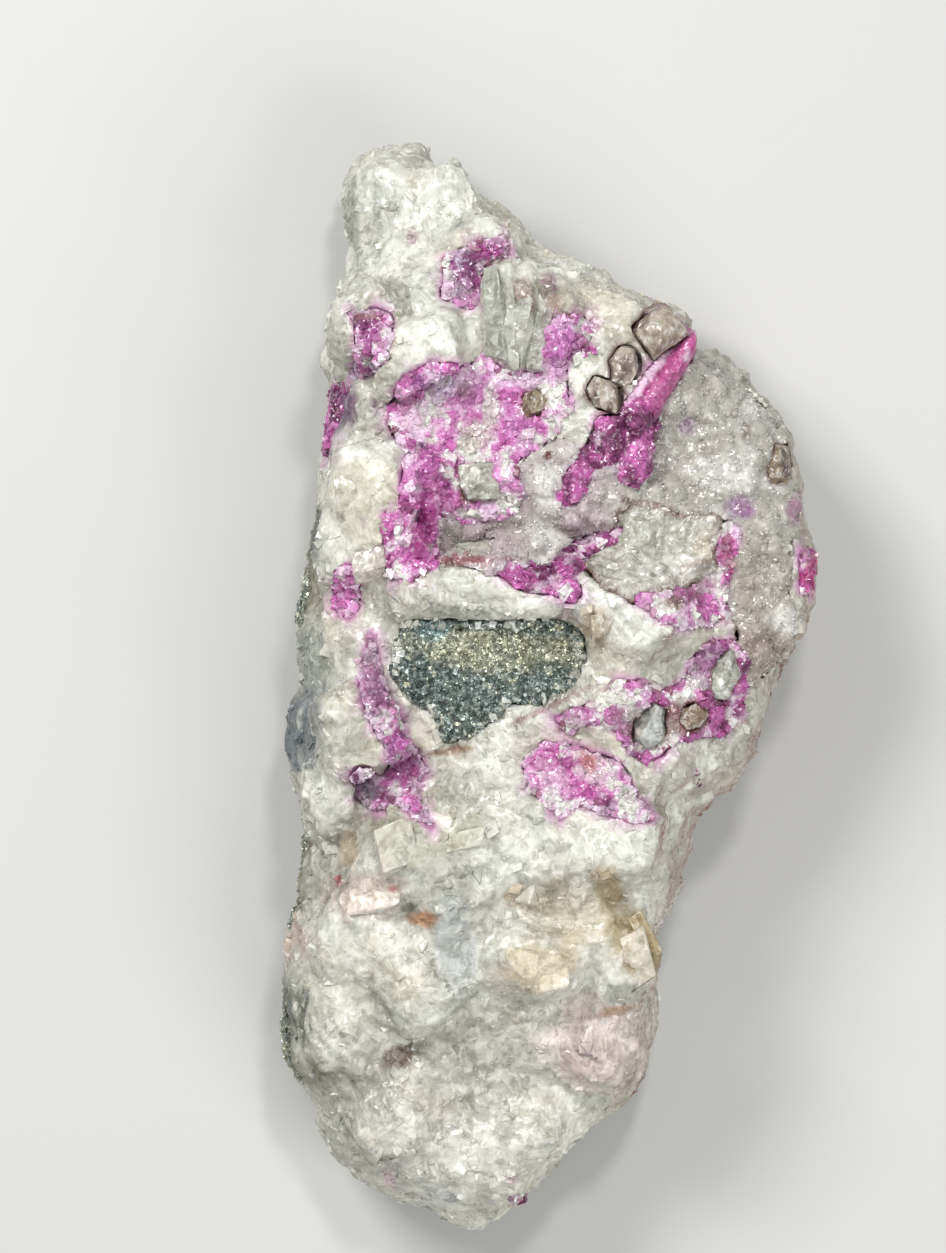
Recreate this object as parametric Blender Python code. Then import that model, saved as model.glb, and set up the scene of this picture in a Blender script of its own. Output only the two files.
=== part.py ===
"""Cobaltoan calcite specimen lying on its broken back, its crystal face upwards.

A long white calcite mass carries magenta cobaltoan calcite, a quartz druse, sulphide patches and
translucent crystals in sockets. X runs across the specimen, Y along it and Z up from the flat foot.
Everything is worked out in millimetres and scaled to metres at the end.
"""

import itertools
import math

import bmesh
import bpy
import numpy as np
from mathutils import Euler, Matrix, Vector
from mathutils.bvhtree import BVHTree

# Driving dimensions, in millimetres
LENGTH = 111.4
WIDTH = 54.6
END_TAPER = 9.0
UNDER_FOOT = 1.6
CHIP = 7.4
CHIP_SLOPE = 0.62
CHIP_DEPTH = 0.95
RIM_CHIPS = 0.2
GAP = 0.34
GAP_UNDER = 0.5
BED_MARGIN = 2.0
FLOOR_STEP = 4.6
DEEPEST_DIP = 4.0
RIM_FLOOR = 7.0
FLANK_HEIGHT = 14.0
LEFT_FLANK_TURN = math.radians(42)
CHISEL = 0.78
SOCKET_OPENING = 5.0
DEEP_DOWN = -70.0
COLUMN_FOOT = -45.0
COLUMN_TOP = 60.0
RINGS = 150
SEGMENTS = 132
LUMP_SHARE = 0.1
BODY_SHARE = 0.385
SHORTEST_EDGE = 0.2
METRE = 0.001

# The plan outline: where the left and the right edge lie at each height along Y, top to bottom
EDGES = [
    # (y, left x, right x)
    (55.7, -18.6, -17.6),
    (55.0, -19.6, -14.0),
    (54.0, -20.2, -12.1),
    (52.5, -20.7, -10.8),
    (51.0, -21.2, -9.4),
    (49.0, -21.1, -7.0),
    (47.0, -20.7, -5.0),
    (44.7, -20.0, -1.4),
    (43.5, -20.3, 1.6),
    (40.8, -21.6, 5.6),
    (39.2, -22.2, 8.6),
    (37.9, -22.5, 11.6),
    (36.5, -22.8, 13.9),
    (34.2, -22.9, 15.0),
    (32.8, -22.5, 16.1),
    (30.0, -22.6, 20.6),
    (28.8, -22.8, 22.1),
    (26.0, -23.1, 24.1),
    (22.8, -23.5, 25.2),
    (19.0, -23.8, 25.9),
    (17.0, -23.9, 25.7),
    (14.6, -24.2, 27.1),
    (12.5, -24.7, 27.3),
    (8.5, -25.6, 26.6),
    (5.2, -25.9, 26.0),
    (4.0, -25.8, 24.3),
    (0.5, -25.1, 22.9),
    (-1.2, -25.5, 22.6),
    (-2.8, -26.9, 21.9),
    (-4.0, -27.2, 21.3),
    (-8.0, -27.1, 20.2),
    (-9.5, -26.7, 19.4),
    (-10.7, -26.0, 17.0),
    (-12.5, -24.8, 14.6),
    (-16.0, -24.8, 13.9),
    (-19.5, -25.1, 13.4),
    (-22.5, -25.6, 11.8),
    (-26.0, -26.7, 10.3),
    (-27.5, -27.2, 11.1),
    (-31.5, -27.2, 11.3),
    (-36.0, -27.1, 10.6),
    (-38.5, -27.0, 10.1),
    (-40.5, -25.5, 9.3),
    (-43.0, -24.2, 7.2),
    (-45.2, -23.8, 3.6),
    (-47.3, -23.3, 1.6),
    (-49.0, -21.1, 1.2),
    (-51.3, -18.4, -1.4),
    (-53.3, -14.4, -3.7),
    (-54.6, -11.5, -5.0),
    (-55.7, -7.9, -6.9),
]

# The spine: how high the face stands, and where the left and right rims lie, along Y
SPINE = [
    # (y, face height, left rim height, right rim height)
    (55.7, 10.0, 8.0, 8.0),
    (50.0, 17.0, 7.5, 8.0),
    (40.0, 22.0, 8.0, 11.0),
    (30.0, 25.5, 8.5, 15.0),
    (15.0, 27.0, 8.0, 17.5),
    (0.0, 27.0, 7.5, 16.5),
    (-9.0, 26.5, 7.0, 14.0),
    (-14.0, 26.0, 7.5, 9.5),
    (-30.0, 24.0, 8.0, 8.5),
    (-45.0, 18.5, 8.0, 8.0),
    (-55.7, 10.0, 7.5, 7.5),
]

# Lumps, hollows and ledges of the face: centre x, y, half sizes along and across, turn, height
FACE_FORMS = [
    ("top lobe", -13.5, 49.0, 7.0, 5.0, -20, 1.6),
    ("neck hollow", -19.0, 44.5, 3.0, 3.0, 0, -2.0),
    ("upper shoulder", -12.0, 37.0, 8.0, 5.0, 10, 2.0),
    ("long crystal ridge", -3.5, 37.0, 2.6, 7.0, 5, 1.5),
    ("upper right ledge", 6.0, 35.0, 8.0, 4.0, -35, 1.2),
    ("network hollow", -5.0, 27.0, 8.0, 4.5, 0, -1.6),
    ("central druse hollow", -0.5, 15.4, 10.5, 4.2, 0, -4.2),
    ("left cleavage shoulder", -18.0, 18.0, 5.0, 8.0, 0, 2.4),
    ("right druse basin", 18.0, 25.0, 8.0, 8.5, -30, -3.6),
    ("lower druse basin", 22.0, 10.0, 4.5, 9.0, 0, -2.2),
    ("grey window", 12.0, 13.5, 8.0, 4.5, -20, -0.6),
    ("crest over the sulphide", -3.0, 9.8, 13.0, 3.2, -5, 3.6),
    ("smooth white bulb", 8.2, 6.6, 5.2, 3.6, -15, 3.2),
    ("sulphide step", -5.0, -6.5, 10.0, 2.4, 8, -2.2),
    ("left lobe", -19.5, -4.0, 5.0, 5.5, 0, 2.0),
    ("vein valley", -16.0, 1.0, 2.2, 9.0, 12, -1.8),
    ("lower crust hollow", 3.0, -6.5, 7.0, 3.5, 0, -1.2),
    ("pale block row", -9.0, -15.0, 8.0, 4.5, 5, 2.2),
    ("waist ledge", 6.0, -15.5, 8.0, 4.0, 0, 1.4),
    ("tan corner", 7.5, -26.5, 5.0, 5.0, 0, 1.6),
    ("lower recess", -2.0, -39.0, 9.0, 8.0, 20, -2.4),
    ("dark pit", -14.4, -36.6, 2.2, 1.3, 20, -2.4),
    ("foot bulge", -9.0, -48.0, 9.0, 4.5, -10, 1.6),
]

# Cleavage blocks fused with the mass: centre x, y, z, size x, y, z, turns about X, Y, Z in degrees
BLOCKS = [
    (-18.0, 19.0, 24.6, 8.2, 10.5, 8.0, 8, -10, 6),
    (-20.2, 14.4, 22.8, 6.4, 8.0, 7.0, -6, -16, 4),
    (-14.6, 13.2, 25.2, 4.6, 6.4, 5.0, 12, 6, -14),
    (-13.4, 33.5, 26.0, 9.0, 6.0, 6.0, 10, -6, 24),
    (-18.2, 36.5, 23.2, 7.0, 8.0, 7.0, -8, -14, -10),
    (-3.9, 37.0, 24.6, 5.2, 10.6, 5.5, 6, 10, 4),
    (0.4, 36.5, 24.0, 4.0, 8.4, 5.0, -8, -12, -8),
    (6.5, 37.2, 20.8, 7.0, 4.6, 6.0, 10, 18, -34),
    (-12.0, 49.0, 16.6, 8.0, 6.0, 6.0, 14, 10, 30),
    (-16.6, 50.6, 14.6, 7.0, 5.0, 7.0, -10, -18, 12),
    (-7.0, 44.6, 19.0, 7.0, 5.0, 6.0, 8, 16, -30),
    (-19.6, -4.2, 24.2, 8.4, 9.0, 7.0, 10, -12, 30),
    (-22.0, -11.4, 20.6, 6.0, 6.6, 7.0, -8, -18, 12),
    (-12.6, -15.4, 26.4, 8.6, 7.4, 6.0, -12, 8, 16),
    (-6.2, -13.6, 26.8, 6.4, 5.4, 5.0, 14, -6, -22),
    (-17.4, -18.6, 24.2, 5.0, 7.0, 6.0, 10, -14, -24),
    (-9.2, -21.4, 25.6, 7.6, 4.6, 5.0, -14, 10, 28),
    (1.0, -17.2, 26.2, 7.0, 6.0, 5.0, 8, 12, 10),
    (7.6, -16.0, 24.6, 6.6, 8.0, 6.0, -6, 16, -6),
    (-1.8, -27.4, 25.4, 10.0, 6.4, 5.0, 12, -4, -12),
    (7.4, -27.0, 22.6, 6.4, 8.4, 7.0, -10, 18, 26),
    (-19.0, -25.6, 22.8, 9.0, 7.0, 6.0, 8, -10, -8),
    (-13.0, -30.0, 23.8, 7.0, 8.0, 5.0, -8, 6, 20),
    (-21.4, -35.0, 19.6, 6.0, 8.0, 6.0, 6, -16, 6),
    (5.0, -36.4, 20.4, 7.0, 7.0, 5.0, 10, 14, -18),
    (-16.0, -43.6, 18.4, 8.0, 6.0, 6.0, -14, -8, 22),
    (-6.4, -49.6, 15.6, 9.0, 5.0, 6.0, -16, 6, -12),
    (-2.0, -45.2, 18.0, 7.0, 5.0, 5.0, -10, 12, 14),
    (8.4, 6.4, 27.6, 7.6, 6.0, 4.6, 6, -4, 20),
    (2.0, 9.6, 28.0, 8.0, 4.4, 4.4, -10, 6, -8),
    (-8.0, 10.4, 28.0, 9.0, 4.6, 4.4, 12, -6, 6),
    (-7.4, -50.6, 9.6, 8.0, 7.0, 8.0, 6, -4, 32),
    (-15.6, 52.0, 9.0, 6.4, 6.0, 8.0, 8, -6, 18),
]

# Broken blocks down the flanks: y, side, height over the foot, size across, along, up, turns in degrees
FLANK_BLOCKS = [
    (45.0, "left", 8.0, 7.0, 8.0, 8.0, 12, -10, 20),
    (36.5, "left", 13.0, 8.0, 9.0, 9.0, -14, 8, -16),
    (28.0, "left", 6.0, 9.0, 10.0, 8.0, 10, 14, 12),
    (20.5, "left", 13.5, 8.0, 8.0, 8.0, -8, -12, -20),
    (11.0, "left", 7.0, 9.0, 9.0, 9.0, 16, 6, 14),
    (2.0, "left", 13.0, 8.0, 8.0, 7.0, -12, 12, -12),
    (-6.5, "left", 8.0, 9.0, 10.0, 9.0, 8, -14, 22),
    (-15.0, "left", 5.0, 8.0, 8.0, 7.0, -10, 10, -18),
    (-22.0, "left", 12.0, 8.0, 9.0, 8.0, 14, -8, 16),
    (-33.0, "left", 7.0, 9.0, 11.0, 9.0, -12, 12, -10),
    (-43.0, "left", 9.0, 8.0, 8.0, 8.0, 10, -12, 30),
    (45.0, "right", 8.0, 8.0, 8.0, 8.0, -10, 12, -34),
    (36.0, "right", 10.0, 8.0, 8.0, 9.0, 12, -10, -26),
    (29.0, "right", 6.0, 9.0, 9.0, 8.0, -12, 8, -40),
    (22.0, "right", 12.0, 9.0, 9.0, 9.0, 8, 14, -12),
    (13.5, "right", 7.0, 9.0, 9.0, 9.0, -14, -8, 10),
    (4.5, "right", 11.0, 9.0, 9.0, 9.0, 10, 12, 22),
    (-5.0, "right", 6.0, 9.0, 10.0, 9.0, -8, -12, 16),
    (-18.0, "right", 9.0, 8.0, 9.0, 8.0, 14, 8, 14),
    (-29.0, "right", 6.0, 8.0, 9.0, 8.0, -10, -14, -14),
    (-38.0, "right", 10.0, 8.0, 8.0, 8.0, 12, 10, 20),
    (-46.5, "right", 7.0, 8.0, 7.0, 8.0, -12, 8, 36),
]
FLANK_INSET = 0.7

# Crusts and patches let into the face, as plan outlines. A later one may run in under an earlier one
SULPHIDE_MAIN = [
    (-14.2, 5.0), (-13.4, 6.9), (-7.4, 6.8), (1.6, 6.9), (3.7, 5.5), (3.9, 3.4), (2.6, 0.6),
    (-0.4, -1.0), (-3.4, -0.9), (-4.7, -2.2), (-7.6, -4.4), (-9.9, -4.8), (-10.6, -2.4), (-14.0, 0.2),
    (-14.8, 1.9),
]
COBALT_UPPER_PATCH = [
    (-18.8, 36.9), (-17.0, 37.5), (-15.4, 37.0), (-15.3, 34.8), (-16.0, 33.6), (-15.6, 32.6),
    (-17.2, 31.6), (-18.8, 31.4), (-18.2, 33.8),
]
COBALT_TOP_PATCH = [
    (-9.8, 42.8), (-8.2, 43.4), (-6.4, 44.4), (-4.0, 44.8), (-3.8, 43.4), (-5.6, 42.6), (-6.6, 42.0),
    (-6.3, 39.4), (-7.2, 37.8), (-8.6, 38.4), (-10.0, 39.0),
]
COBALT_LEFT_BLADE = [
    (-13.8, 22.6), (-12.2, 23.8), (-10.6, 22.4), (-10.2, 20.8), (-10.7, 18.6), (-10.9, 15.8),
    (-11.8, 13.2), (-13.2, 13.1), (-14.0, 14.6), (-13.6, 17.0), (-14.2, 19.6),
]
COBALT_NETWORK = [
    (-13.8, 30.8), (-11.4, 31.9), (-7.4, 31.8), (-5.6, 33.4), (-4.6, 31.6), (-0.6, 31.2), (-0.2, 35.0),
    (1.6, 36.9), (4.6, 36.3), (4.0, 34.4), (2.2, 33.4), (1.8, 30.6), (2.2, 27.8), (0.6, 25.2),
    (-1.6, 23.8), (-3.2, 22.6), (-2.2, 19.2), (-3.2, 17.7), (-6.6, 16.9), (-9.4, 16.9), (-11.4, 17.4),
    (-11.4, 21.6), (-12.6, 23.0), (-14.2, 24.6), (-15.2, 26.6), (-14.8, 29.0),
]
COBALT_LEFT_FRINGE = [
    (-15.8, 17.4), (-13.0, 17.4), (-12.6, 13.8), (-10.6, 13.6), (-10.8, 12.2), (-13.4, 11.0), (-15.2, 11.4),
    (-15.6, 14.2),
]
COBALT_LEFT_LOW = [(-20.6, 11.6), (-19.4, 12.4), (-18.4, 11.4), (-18.6, 8.6), (-19.2, 7.2), (-20.4, 8.0)]
COBALT_FAN = [
    (13.6, 36.4), (14.9, 35.4), (14.6, 33.6), (13.6, 31.8), (12.2, 29.6), (11.0, 27.6), (10.5, 24.5),
    (10.5, 22.0), (9.1, 20.8), (7.6, 21.0), (6.6, 22.4), (4.6, 21.5), (3.1, 19.0), (1.6, 18.2), (1.3, 19.4),
    (2.6, 22.0), (4.6, 24.2), (5.2, 27.0), (7.6, 26.8), (8.6, 29.0), (10.0, 31.0), (11.4, 32.8),
]
COBALT_LOWER_LEFT_VEIN = [
    (-17.2, 5.0), (-16.6, 3.0), (-16.4, 0.5), (-15.1, -1.5), (-13.9, -4.5), (-12.6, -6.2), (-11.9, -8.0),
    (-13.0, -9.5), (-12.4, -11.0), (-11.1, -13.2), (-12.6, -12.4), (-14.6, -10.8), (-16.8, -11.6),
    (-18.6, -10.4), (-18.9, -8.2), (-17.4, -7.8), (-16.2, -9.0), (-15.2, -7.5), (-15.4, -5.5), (-16.6, -3.5),
    (-17.8, -1.0), (-18.0, 1.0), (-17.6, 3.0),
]
COBALT_LOWER_CRUST = [
    (-1.9, -7.0), (0.1, -5.5), (2.0, -5.6), (4.6, -6.4), (7.1, -7.0), (8.1, -8.5), (8.8, -11.0), (10.4, -12.4),
    (8.6, -12.8), (5.6, -11.5), (3.1, -11.0), (1.6, -12.5), (0.1, -11.0), (-1.4, -9.5),
]
COBALT_RIGHT_LOOPS = [
    (7.2, 0.6), (9.4, 0.8), (11.0, -0.4), (13.6, 0.4), (15.0, 3.2), (16.2, 4.6), (18.4, 4.7), (19.8, 3.4),
    (19.6, 0.4), (19.2, -2.0), (17.6, -4.2), (14.6, -4.4), (12.6, -4.8), (11.6, -6.2), (10.0, -6.8),
    (8.4, -5.8), (7.6, -4.0), (6.0, -2.9), (3.2, -3.0), (2.6, -4.2), (1.4, -2.6), (5.4, -1.2), (6.6, -0.4),
]
COBALT_MIDDLE_RIGHT = [
    (8.9, 9.2), (11.6, 9.6), (14.2, 9.8), (16.9, 12.0), (17.2, 15.6), (18.2, 16.8), (19.3, 15.6), (19.0, 13.2),
    (18.0, 10.8), (17.8, 8.6), (18.2, 7.4), (16.4, 6.6), (13.8, 6.6), (11.4, 6.9), (10.2, 8.2),
]
COBALT_DIAGONAL = [
    (-4.8, 11.8), (-2.6, 10.2), (0.6, 9.8), (2.6, 8.8), (3.4, 9.4), (2.6, 11.6), (4.8, 13.6), (7.4, 14.8),
    (7.8, 16.2), (4.8, 15.4), (2.0, 13.6), (0.4, 11.8), (-2.2, 12.2),
]
GREY_WINDOW = [
    (7.2, 17.8), (9.4, 18.8), (11.6, 17.9), (14.6, 17.2), (17.4, 16.8), (17.6, 15.8), (17.4, 12.4),
    (14.6, 9.6), (11.4, 9.2), (8.6, 8.8), (5.6, 10.6), (3.8, 12.2), (6.8, 15.2),
]
DRUSE = [
    (14.2, 32.2), (16.2, 32.2), (19.6, 30.2), (22.2, 27.4), (23.8, 24.4), (22.8, 22.4), (24.2, 20.2),
    (25.0, 17.8), (24.4, 15.6), (24.1, 13.6), (24.1, 9.6), (24.2, 5.0), (22.2, 2.2), (20.6, 0.8), (19.2, 1.2),
    (19.0, 3.6), (19.4, 5.6), (18.9, 7.0), (17.4, 8.8), (17.6, 10.8), (18.6, 13.0), (18.8, 15.8),
    (16.8, 16.4), (14.6, 16.8), (11.6, 17.5), (9.2, 18.4), (7.6, 17.4), (7.2, 15.4), (3.4, 14.0), (0.4, 10.9),
    (-3.4, 11.2), (-7.0, 12.2), (-11.6, 12.8), (-11.4, 16.4), (-9.4, 17.6), (-6.6, 17.6), (-3.4, 18.4),
    (-2.8, 20.8), (-1.4, 23.2), (1.0, 24.6), (2.2, 24.2), (2.8, 22.8), (3.4, 21.4), (5.4, 22.9), (9.2, 21.6),
    (10.0, 24.6), (10.4, 27.8), (12.0, 30.2), (13.4, 32.4),
]
COBALT_EDGE_PATCH = [
    (-22.4, 29.2), (-20.0, 30.4), (-19.0, 29.8), (-18.6, 27.4), (-19.4, 25.4), (-20.6, 23.8),
    (-21.8, 23.4), (-22.0, 26.0),
]
SULPHIDE_UPPER_FLANK = [
    (-25.4, 8.8), (-24.6, 11.6), (-23.2, 12.0), (-22.4, 10.6), (-22.6, 8.2), (-23.4, 6.7), (-25.2, 6.6),
]
SULPHIDE_LOWER_FLANK = [
    (-25.2, -15.0), (-23.0, -14.6), (-21.9, -15.6), (-23.0, -18.2), (-23.2, -21.0), (-24.0, -24.2),
    (-25.3, -24.6), (-25.6, -19.0),
]
SULPHIDE_FOOT_FLANK = [
    (-27.4, -30.4), (-26.0, -29.8), (-25.2, -32.0), (-25.6, -34.8), (-25.2, -37.6), (-26.4, -39.2),
    (-27.4, -38.6),
]
COBALT_RIM_SPOT = [(25.6, 13.6), (28.4, 13.8), (28.6, 9.6), (26.2, 9.4), (25.5, 10.6)]

# Let in from straight above: name, outline, thickness, material
FACE_INLAYS = [
    ("sulphide_main", SULPHIDE_MAIN, 3.2, "sulphide"),
    ("cobalt_crust_upper_patch", COBALT_UPPER_PATCH, 1.7, "cobalt"),
    ("cobalt_crust_top_patch", COBALT_TOP_PATCH, 1.7, "cobalt"),
    ("cobalt_blade_left", COBALT_LEFT_BLADE, 2.4, "cobalt"),
    ("cobalt_crust_network", COBALT_NETWORK, 1.8, "cobalt"),
    ("cobalt_crust_left_fringe", COBALT_LEFT_FRINGE, 1.5, "cobalt"),
    ("cobalt_crust_left_low", COBALT_LEFT_LOW, 1.7, "cobalt"),
    ("cobalt_blade_and_fan", COBALT_FAN, 2.2, "cobalt"),
    ("cobalt_vein_lower_left", COBALT_LOWER_LEFT_VEIN, 1.7, "cobalt"),
    ("cobalt_crust_lower", COBALT_LOWER_CRUST, 1.6, "cobalt"),
    ("cobalt_crust_right_loops", COBALT_RIGHT_LOOPS, 2.1, "cobalt"),
    ("cobalt_crust_middle_right", COBALT_MIDDLE_RIGHT, 1.7, "cobalt"),
    ("cobalt_vein_diagonal", COBALT_DIAGONAL, 1.5, "cobalt"),
    ("grey_calcite_window", GREY_WINDOW, 2.6, "grey_crystal"),
    ("quartz_druse", DRUSE, 1.3, "druse"),
    ("cobalt_crust_right_rim", COBALT_RIM_SPOT, 1.6, "cobalt"),
]
# Let in from the upper left, where the flank falls away
LEFT_INLAYS = [
    ("cobalt_crust_left_edge", COBALT_EDGE_PATCH, 1.8, "cobalt"),
    ("sulphide_flank_upper", SULPHIDE_UPPER_FLANK, 1.9, "sulphide"),
    ("sulphide_flank_lower", SULPHIDE_LOWER_FLANK, 2.0, "sulphide"),
    ("sulphide_flank_foot", SULPHIDE_FOOT_FLANK, 2.0, "sulphide"),
]

# Crystals that stand in sockets: name, x, y, half sizes, sides, turns in degrees, how far proud, material
SOCKET_CRYSTALS = [
    ("tan_crystal_upper_right", 11.2, 35.6, 2.7, 2.2, 3.4, 4, (14, 10, 35), 1.3, "tan_crystal"),
    ("tan_crystal_socket_left", 5.6, 29.2, 1.2, 2.0, 3.0, 6, (20, 12, 52), 0.8, "tan_crystal"),
    ("tan_crystal_socket_right", 7.6, 32.0, 1.3, 1.9, 3.0, 6, (-14, 16, -20), 0.7, "tan_crystal"),
    ("tan_crystal_network", -0.9, 28.4, 1.1, 1.2, 3.0, 6, (8, -12, 10), 0.9, "tan_crystal"),
    ("tan_crystal_right_rim", 23.1, 22.4, 1.2, 1.9, 3.0, 6, (8, 14, -12), 0.8, "tan_crystal"),
    ("tan_crystal_right_loops", 14.4, -2.4, 1.4, 1.3, 3.0, 6, (10, 8, 24), 0.8, "tan_crystal"),
    ("grey_crystal_network", -6.7, 20.5, 2.1, 2.0, 3.2, 4, (-8, 6, 4), 1.0, "grey_crystal"),
    ("grey_crystal_loop_lower", 10.4, -3.4, 1.7, 2.3, 3.6, 6, (10, -8, -24), 1.0, "grey_crystal"),
    ("grey_crystal_loop_upper", 17.5, 1.6, 1.3, 2.4, 3.2, 6, (-6, 12, -10), 1.0, "grey_crystal"),
]

# Magenta blades, long tapered spars that lie on the face: tip, root, half width, half depth
BLADES = [
    (Vector((14.8, 35.4, 21.6)), Vector((8.0, 26.0, 24.6)), 1.5, 2.6),
    (Vector((9.0, 27.5, 24.4)), Vector((7.6, 20.6, 24.4)), 2.2, 1.8),
    (Vector((8.0, 25.5, 24.0)), Vector((2.2, 18.6, 23.0)), 1.2, 1.6),
    (Vector((-12.6, 13.0, 24.6)), Vector((-12.2, 22.8, 26.6)), 1.6, 1.4),
]

COLOURS = {
    # name: (colour, roughness, metallic)
    "calcite": ((0.72, 0.71, 0.66, 1.0), 0.55, 0.0),
    "cobalt": ((0.62, 0.05, 0.42, 1.0), 0.35, 0.0),
    "druse": ((0.50, 0.46, 0.45, 1.0), 0.30, 0.0),
    "sulphide": ((0.20, 0.22, 0.20, 1.0), 0.35, 0.9),
    "tan_crystal": ((0.42, 0.33, 0.22, 1.0), 0.25, 0.0),
    "grey_crystal": ((0.50, 0.52, 0.46, 1.0), 0.25, 0.0),
}

# Random tables that the crystal relief draws from, the same on each run
DRAWS = np.random.default_rng(7)
TABLE = 4096
JITTER = DRAWS.random((TABLE, 3))
LIFT = DRAWS.random(TABLE)
TURNS = np.array([
    Euler(tuple(DRAWS.random(3) * math.tau)).to_matrix() for _ in range(TABLE)
])
HASH = np.array((73856093, 19349663, 83492791))


def crystal_relief(points, cell, sharp):
    """Height of an aggregate of turned rhombs about one cell across, with flat faces that meet in edges."""
    home = np.floor(points / cell).astype(np.int64)
    best = np.full(len(points), -1e9)
    for step in itertools.product((-1, 0, 1), repeat=3):
        corner = home + np.array(step)
        row = np.bitwise_xor.reduce(corner * HASH, axis=1) % TABLE
        away = points - (corner + JITTER[row]) * cell
        reach = np.abs(np.einsum("nij,nj->ni", TURNS[row], away)).max(axis=1)
        best = np.maximum(best, LIFT[row] * cell * 0.5 - reach * sharp)
    return best


def along(table, y, column):
    """A column of a table at this y, with straight runs between its rows."""
    ys = [-row[0] for row in table]
    return np.interp(-y, ys, [row[column] for row in table])


def face_height(x, y):
    """Height of the crystal face over the foot, before its facets."""
    height = along(SPINE, y, 1)
    for _, cx, cy, half_x, half_y, turn, rise in FACE_FORMS:
        angle = math.radians(turn)
        dx = (x - cx) * math.cos(angle) + (y - cy) * math.sin(angle)
        dy = (y - cy) * math.cos(angle) - (x - cx) * math.sin(angle)
        reach = (dx / half_x) ** 2 + (dy / half_y) ** 2
        height = height + rise * np.exp(-(reach ** 1.5))
    return height


def new_object(name, bm):
    mesh = bpy.data.meshes.new(name)
    bm.to_mesh(mesh)
    bm.free()
    obj = bpy.data.objects.new(name, mesh)
    bpy.context.scene.collection.objects.link(obj)
    return obj


def evaluated_mesh(obj):
    bpy.context.view_layer.update()
    graph = bpy.context.evaluated_depsgraph_get()
    return bpy.data.meshes.new_from_object(obj.evaluated_get(graph))


def apply_modifiers(obj):
    mesh = evaluated_mesh(obj)
    obj.modifiers.clear()
    obj.data = mesh
    return obj


def boolean(target, other, operation, keep_other=False, solver="EXACT"):
    modifier = target.modifiers.new(operation.lower(), "BOOLEAN")
    modifier.operation = operation
    modifier.object = other
    modifier.solver = solver
    apply_modifiers(target)
    if not keep_other:
        bpy.data.objects.remove(other)
    return target


def decimated(obj, share):
    modifier = obj.modifiers.new("thinned", "DECIMATE")
    modifier.ratio = share
    return apply_modifiers(obj)


def lump():
    """The rock's rounded mass: a sphere whose rings follow the plan outline, with the face's forms on top."""
    bm = bmesh.new()
    bmesh.ops.create_uvsphere(bm, u_segments=SEGMENTS, v_segments=RINGS, radius=1.0)
    bm.verts.ensure_lookup_table()
    unit = np.array([v.co for v in bm.verts])
    y = unit[:, 2] * LENGTH / 2
    round_part = np.sqrt(np.maximum(1 - unit[:, 2] ** 2, 1e-9))
    across, up = unit[:, 0] / round_part, unit[:, 1] / round_part
    tips = round_part < 1e-3
    across[tips], up[tips] = 0, 0
    left, right = along(EDGES, y, 1), along(EDGES, y, 2)
    share = (1 + np.sign(across) * np.abs(across) ** 0.9) / 2
    x = left + (right - left) * share
    rim = along(SPINE, y, 2) * (1 - share) + along(SPINE, y, 3) * share
    end = np.clip((LENGTH / 2 - np.abs(y)) / END_TAPER, 0, 1) ** 0.5
    face = rim + (face_height(x, y) - rim) * end
    back = rim * (1 - end) - UNDER_FOOT * end
    z = np.where(up > 0, rim + (face - rim) * np.abs(up) ** 0.62, rim + (back - rim) * np.abs(up) ** 0.7)
    for vert, co in zip(bm.verts, np.stack((x, y, z), axis=1)):
        vert.co = co
    bmesh.ops.recalc_face_normals(bm, faces=bm.faces)
    bm.normal_update()
    points = np.array([v.co for v in bm.verts])
    normals = np.array([v.normal for v in bm.verts])
    chips = crystal_relief(points, CHIP, CHIP_SLOPE)
    chips = (chips - chips.mean()) * np.clip(np.abs(up) * 1.6, RIM_CHIPS, 1) * CHIP_DEPTH
    for vert, co in zip(bm.verts, points + normals * chips[:, None]):
        vert.co = co
    bmesh.ops.triangulate(bm, faces=bm.faces)
    return decimated(new_object("lump", bm), LUMP_SHARE)


def cleavage_block(size, turns, centre):
    """A calcite cleavage fragment: a rhomb, sheared as calcite breaks, with two corners chipped off."""
    bm = bmesh.new()
    bmesh.ops.create_cube(bm, size=1.0)
    shear = Matrix(((1, 0.22, 0.12, 0), (0, 1, 0.18, 0), (0, 0, 1, 0), (0, 0, 0, 1)))
    bmesh.ops.transform(bm, matrix=shear, verts=bm.verts)
    for corner in (Vector((0.5, 0.45, 0.55)), Vector((-0.5, -0.4, 0.6))):
        geom = bm.verts[:] + bm.edges[:] + bm.faces[:]
        cut = bmesh.ops.bisect_plane(bm, geom=geom, plane_co=corner * 0.72, plane_no=corner, clear_outer=True)
        rim = [e for e in cut["geom_cut"] if isinstance(e, bmesh.types.BMEdge)]
        bmesh.ops.contextual_create(bm, geom=rim)
    bmesh.ops.recalc_face_normals(bm, faces=bm.faces)
    turn = Euler([math.radians(a) for a in turns]).to_matrix().to_4x4()
    placed = Matrix.Translation(centre) @ turn @ Matrix.Diagonal((*size, 1))
    bmesh.ops.transform(bm, matrix=placed, verts=bm.verts)
    bmesh.ops.triangulate(bm, faces=bm.faces)
    return new_object("block", bm)


def flank_block(y, side, height, *rest):
    """A block row whose centre lies inside the plan outline, so that only its corners show."""
    inset = rest[0] * FLANK_INSET
    x = along(EDGES, y, 1) + inset if side == "left" else along(EDGES, y, 2) - inset
    return (float(x), y, height, *rest)


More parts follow.
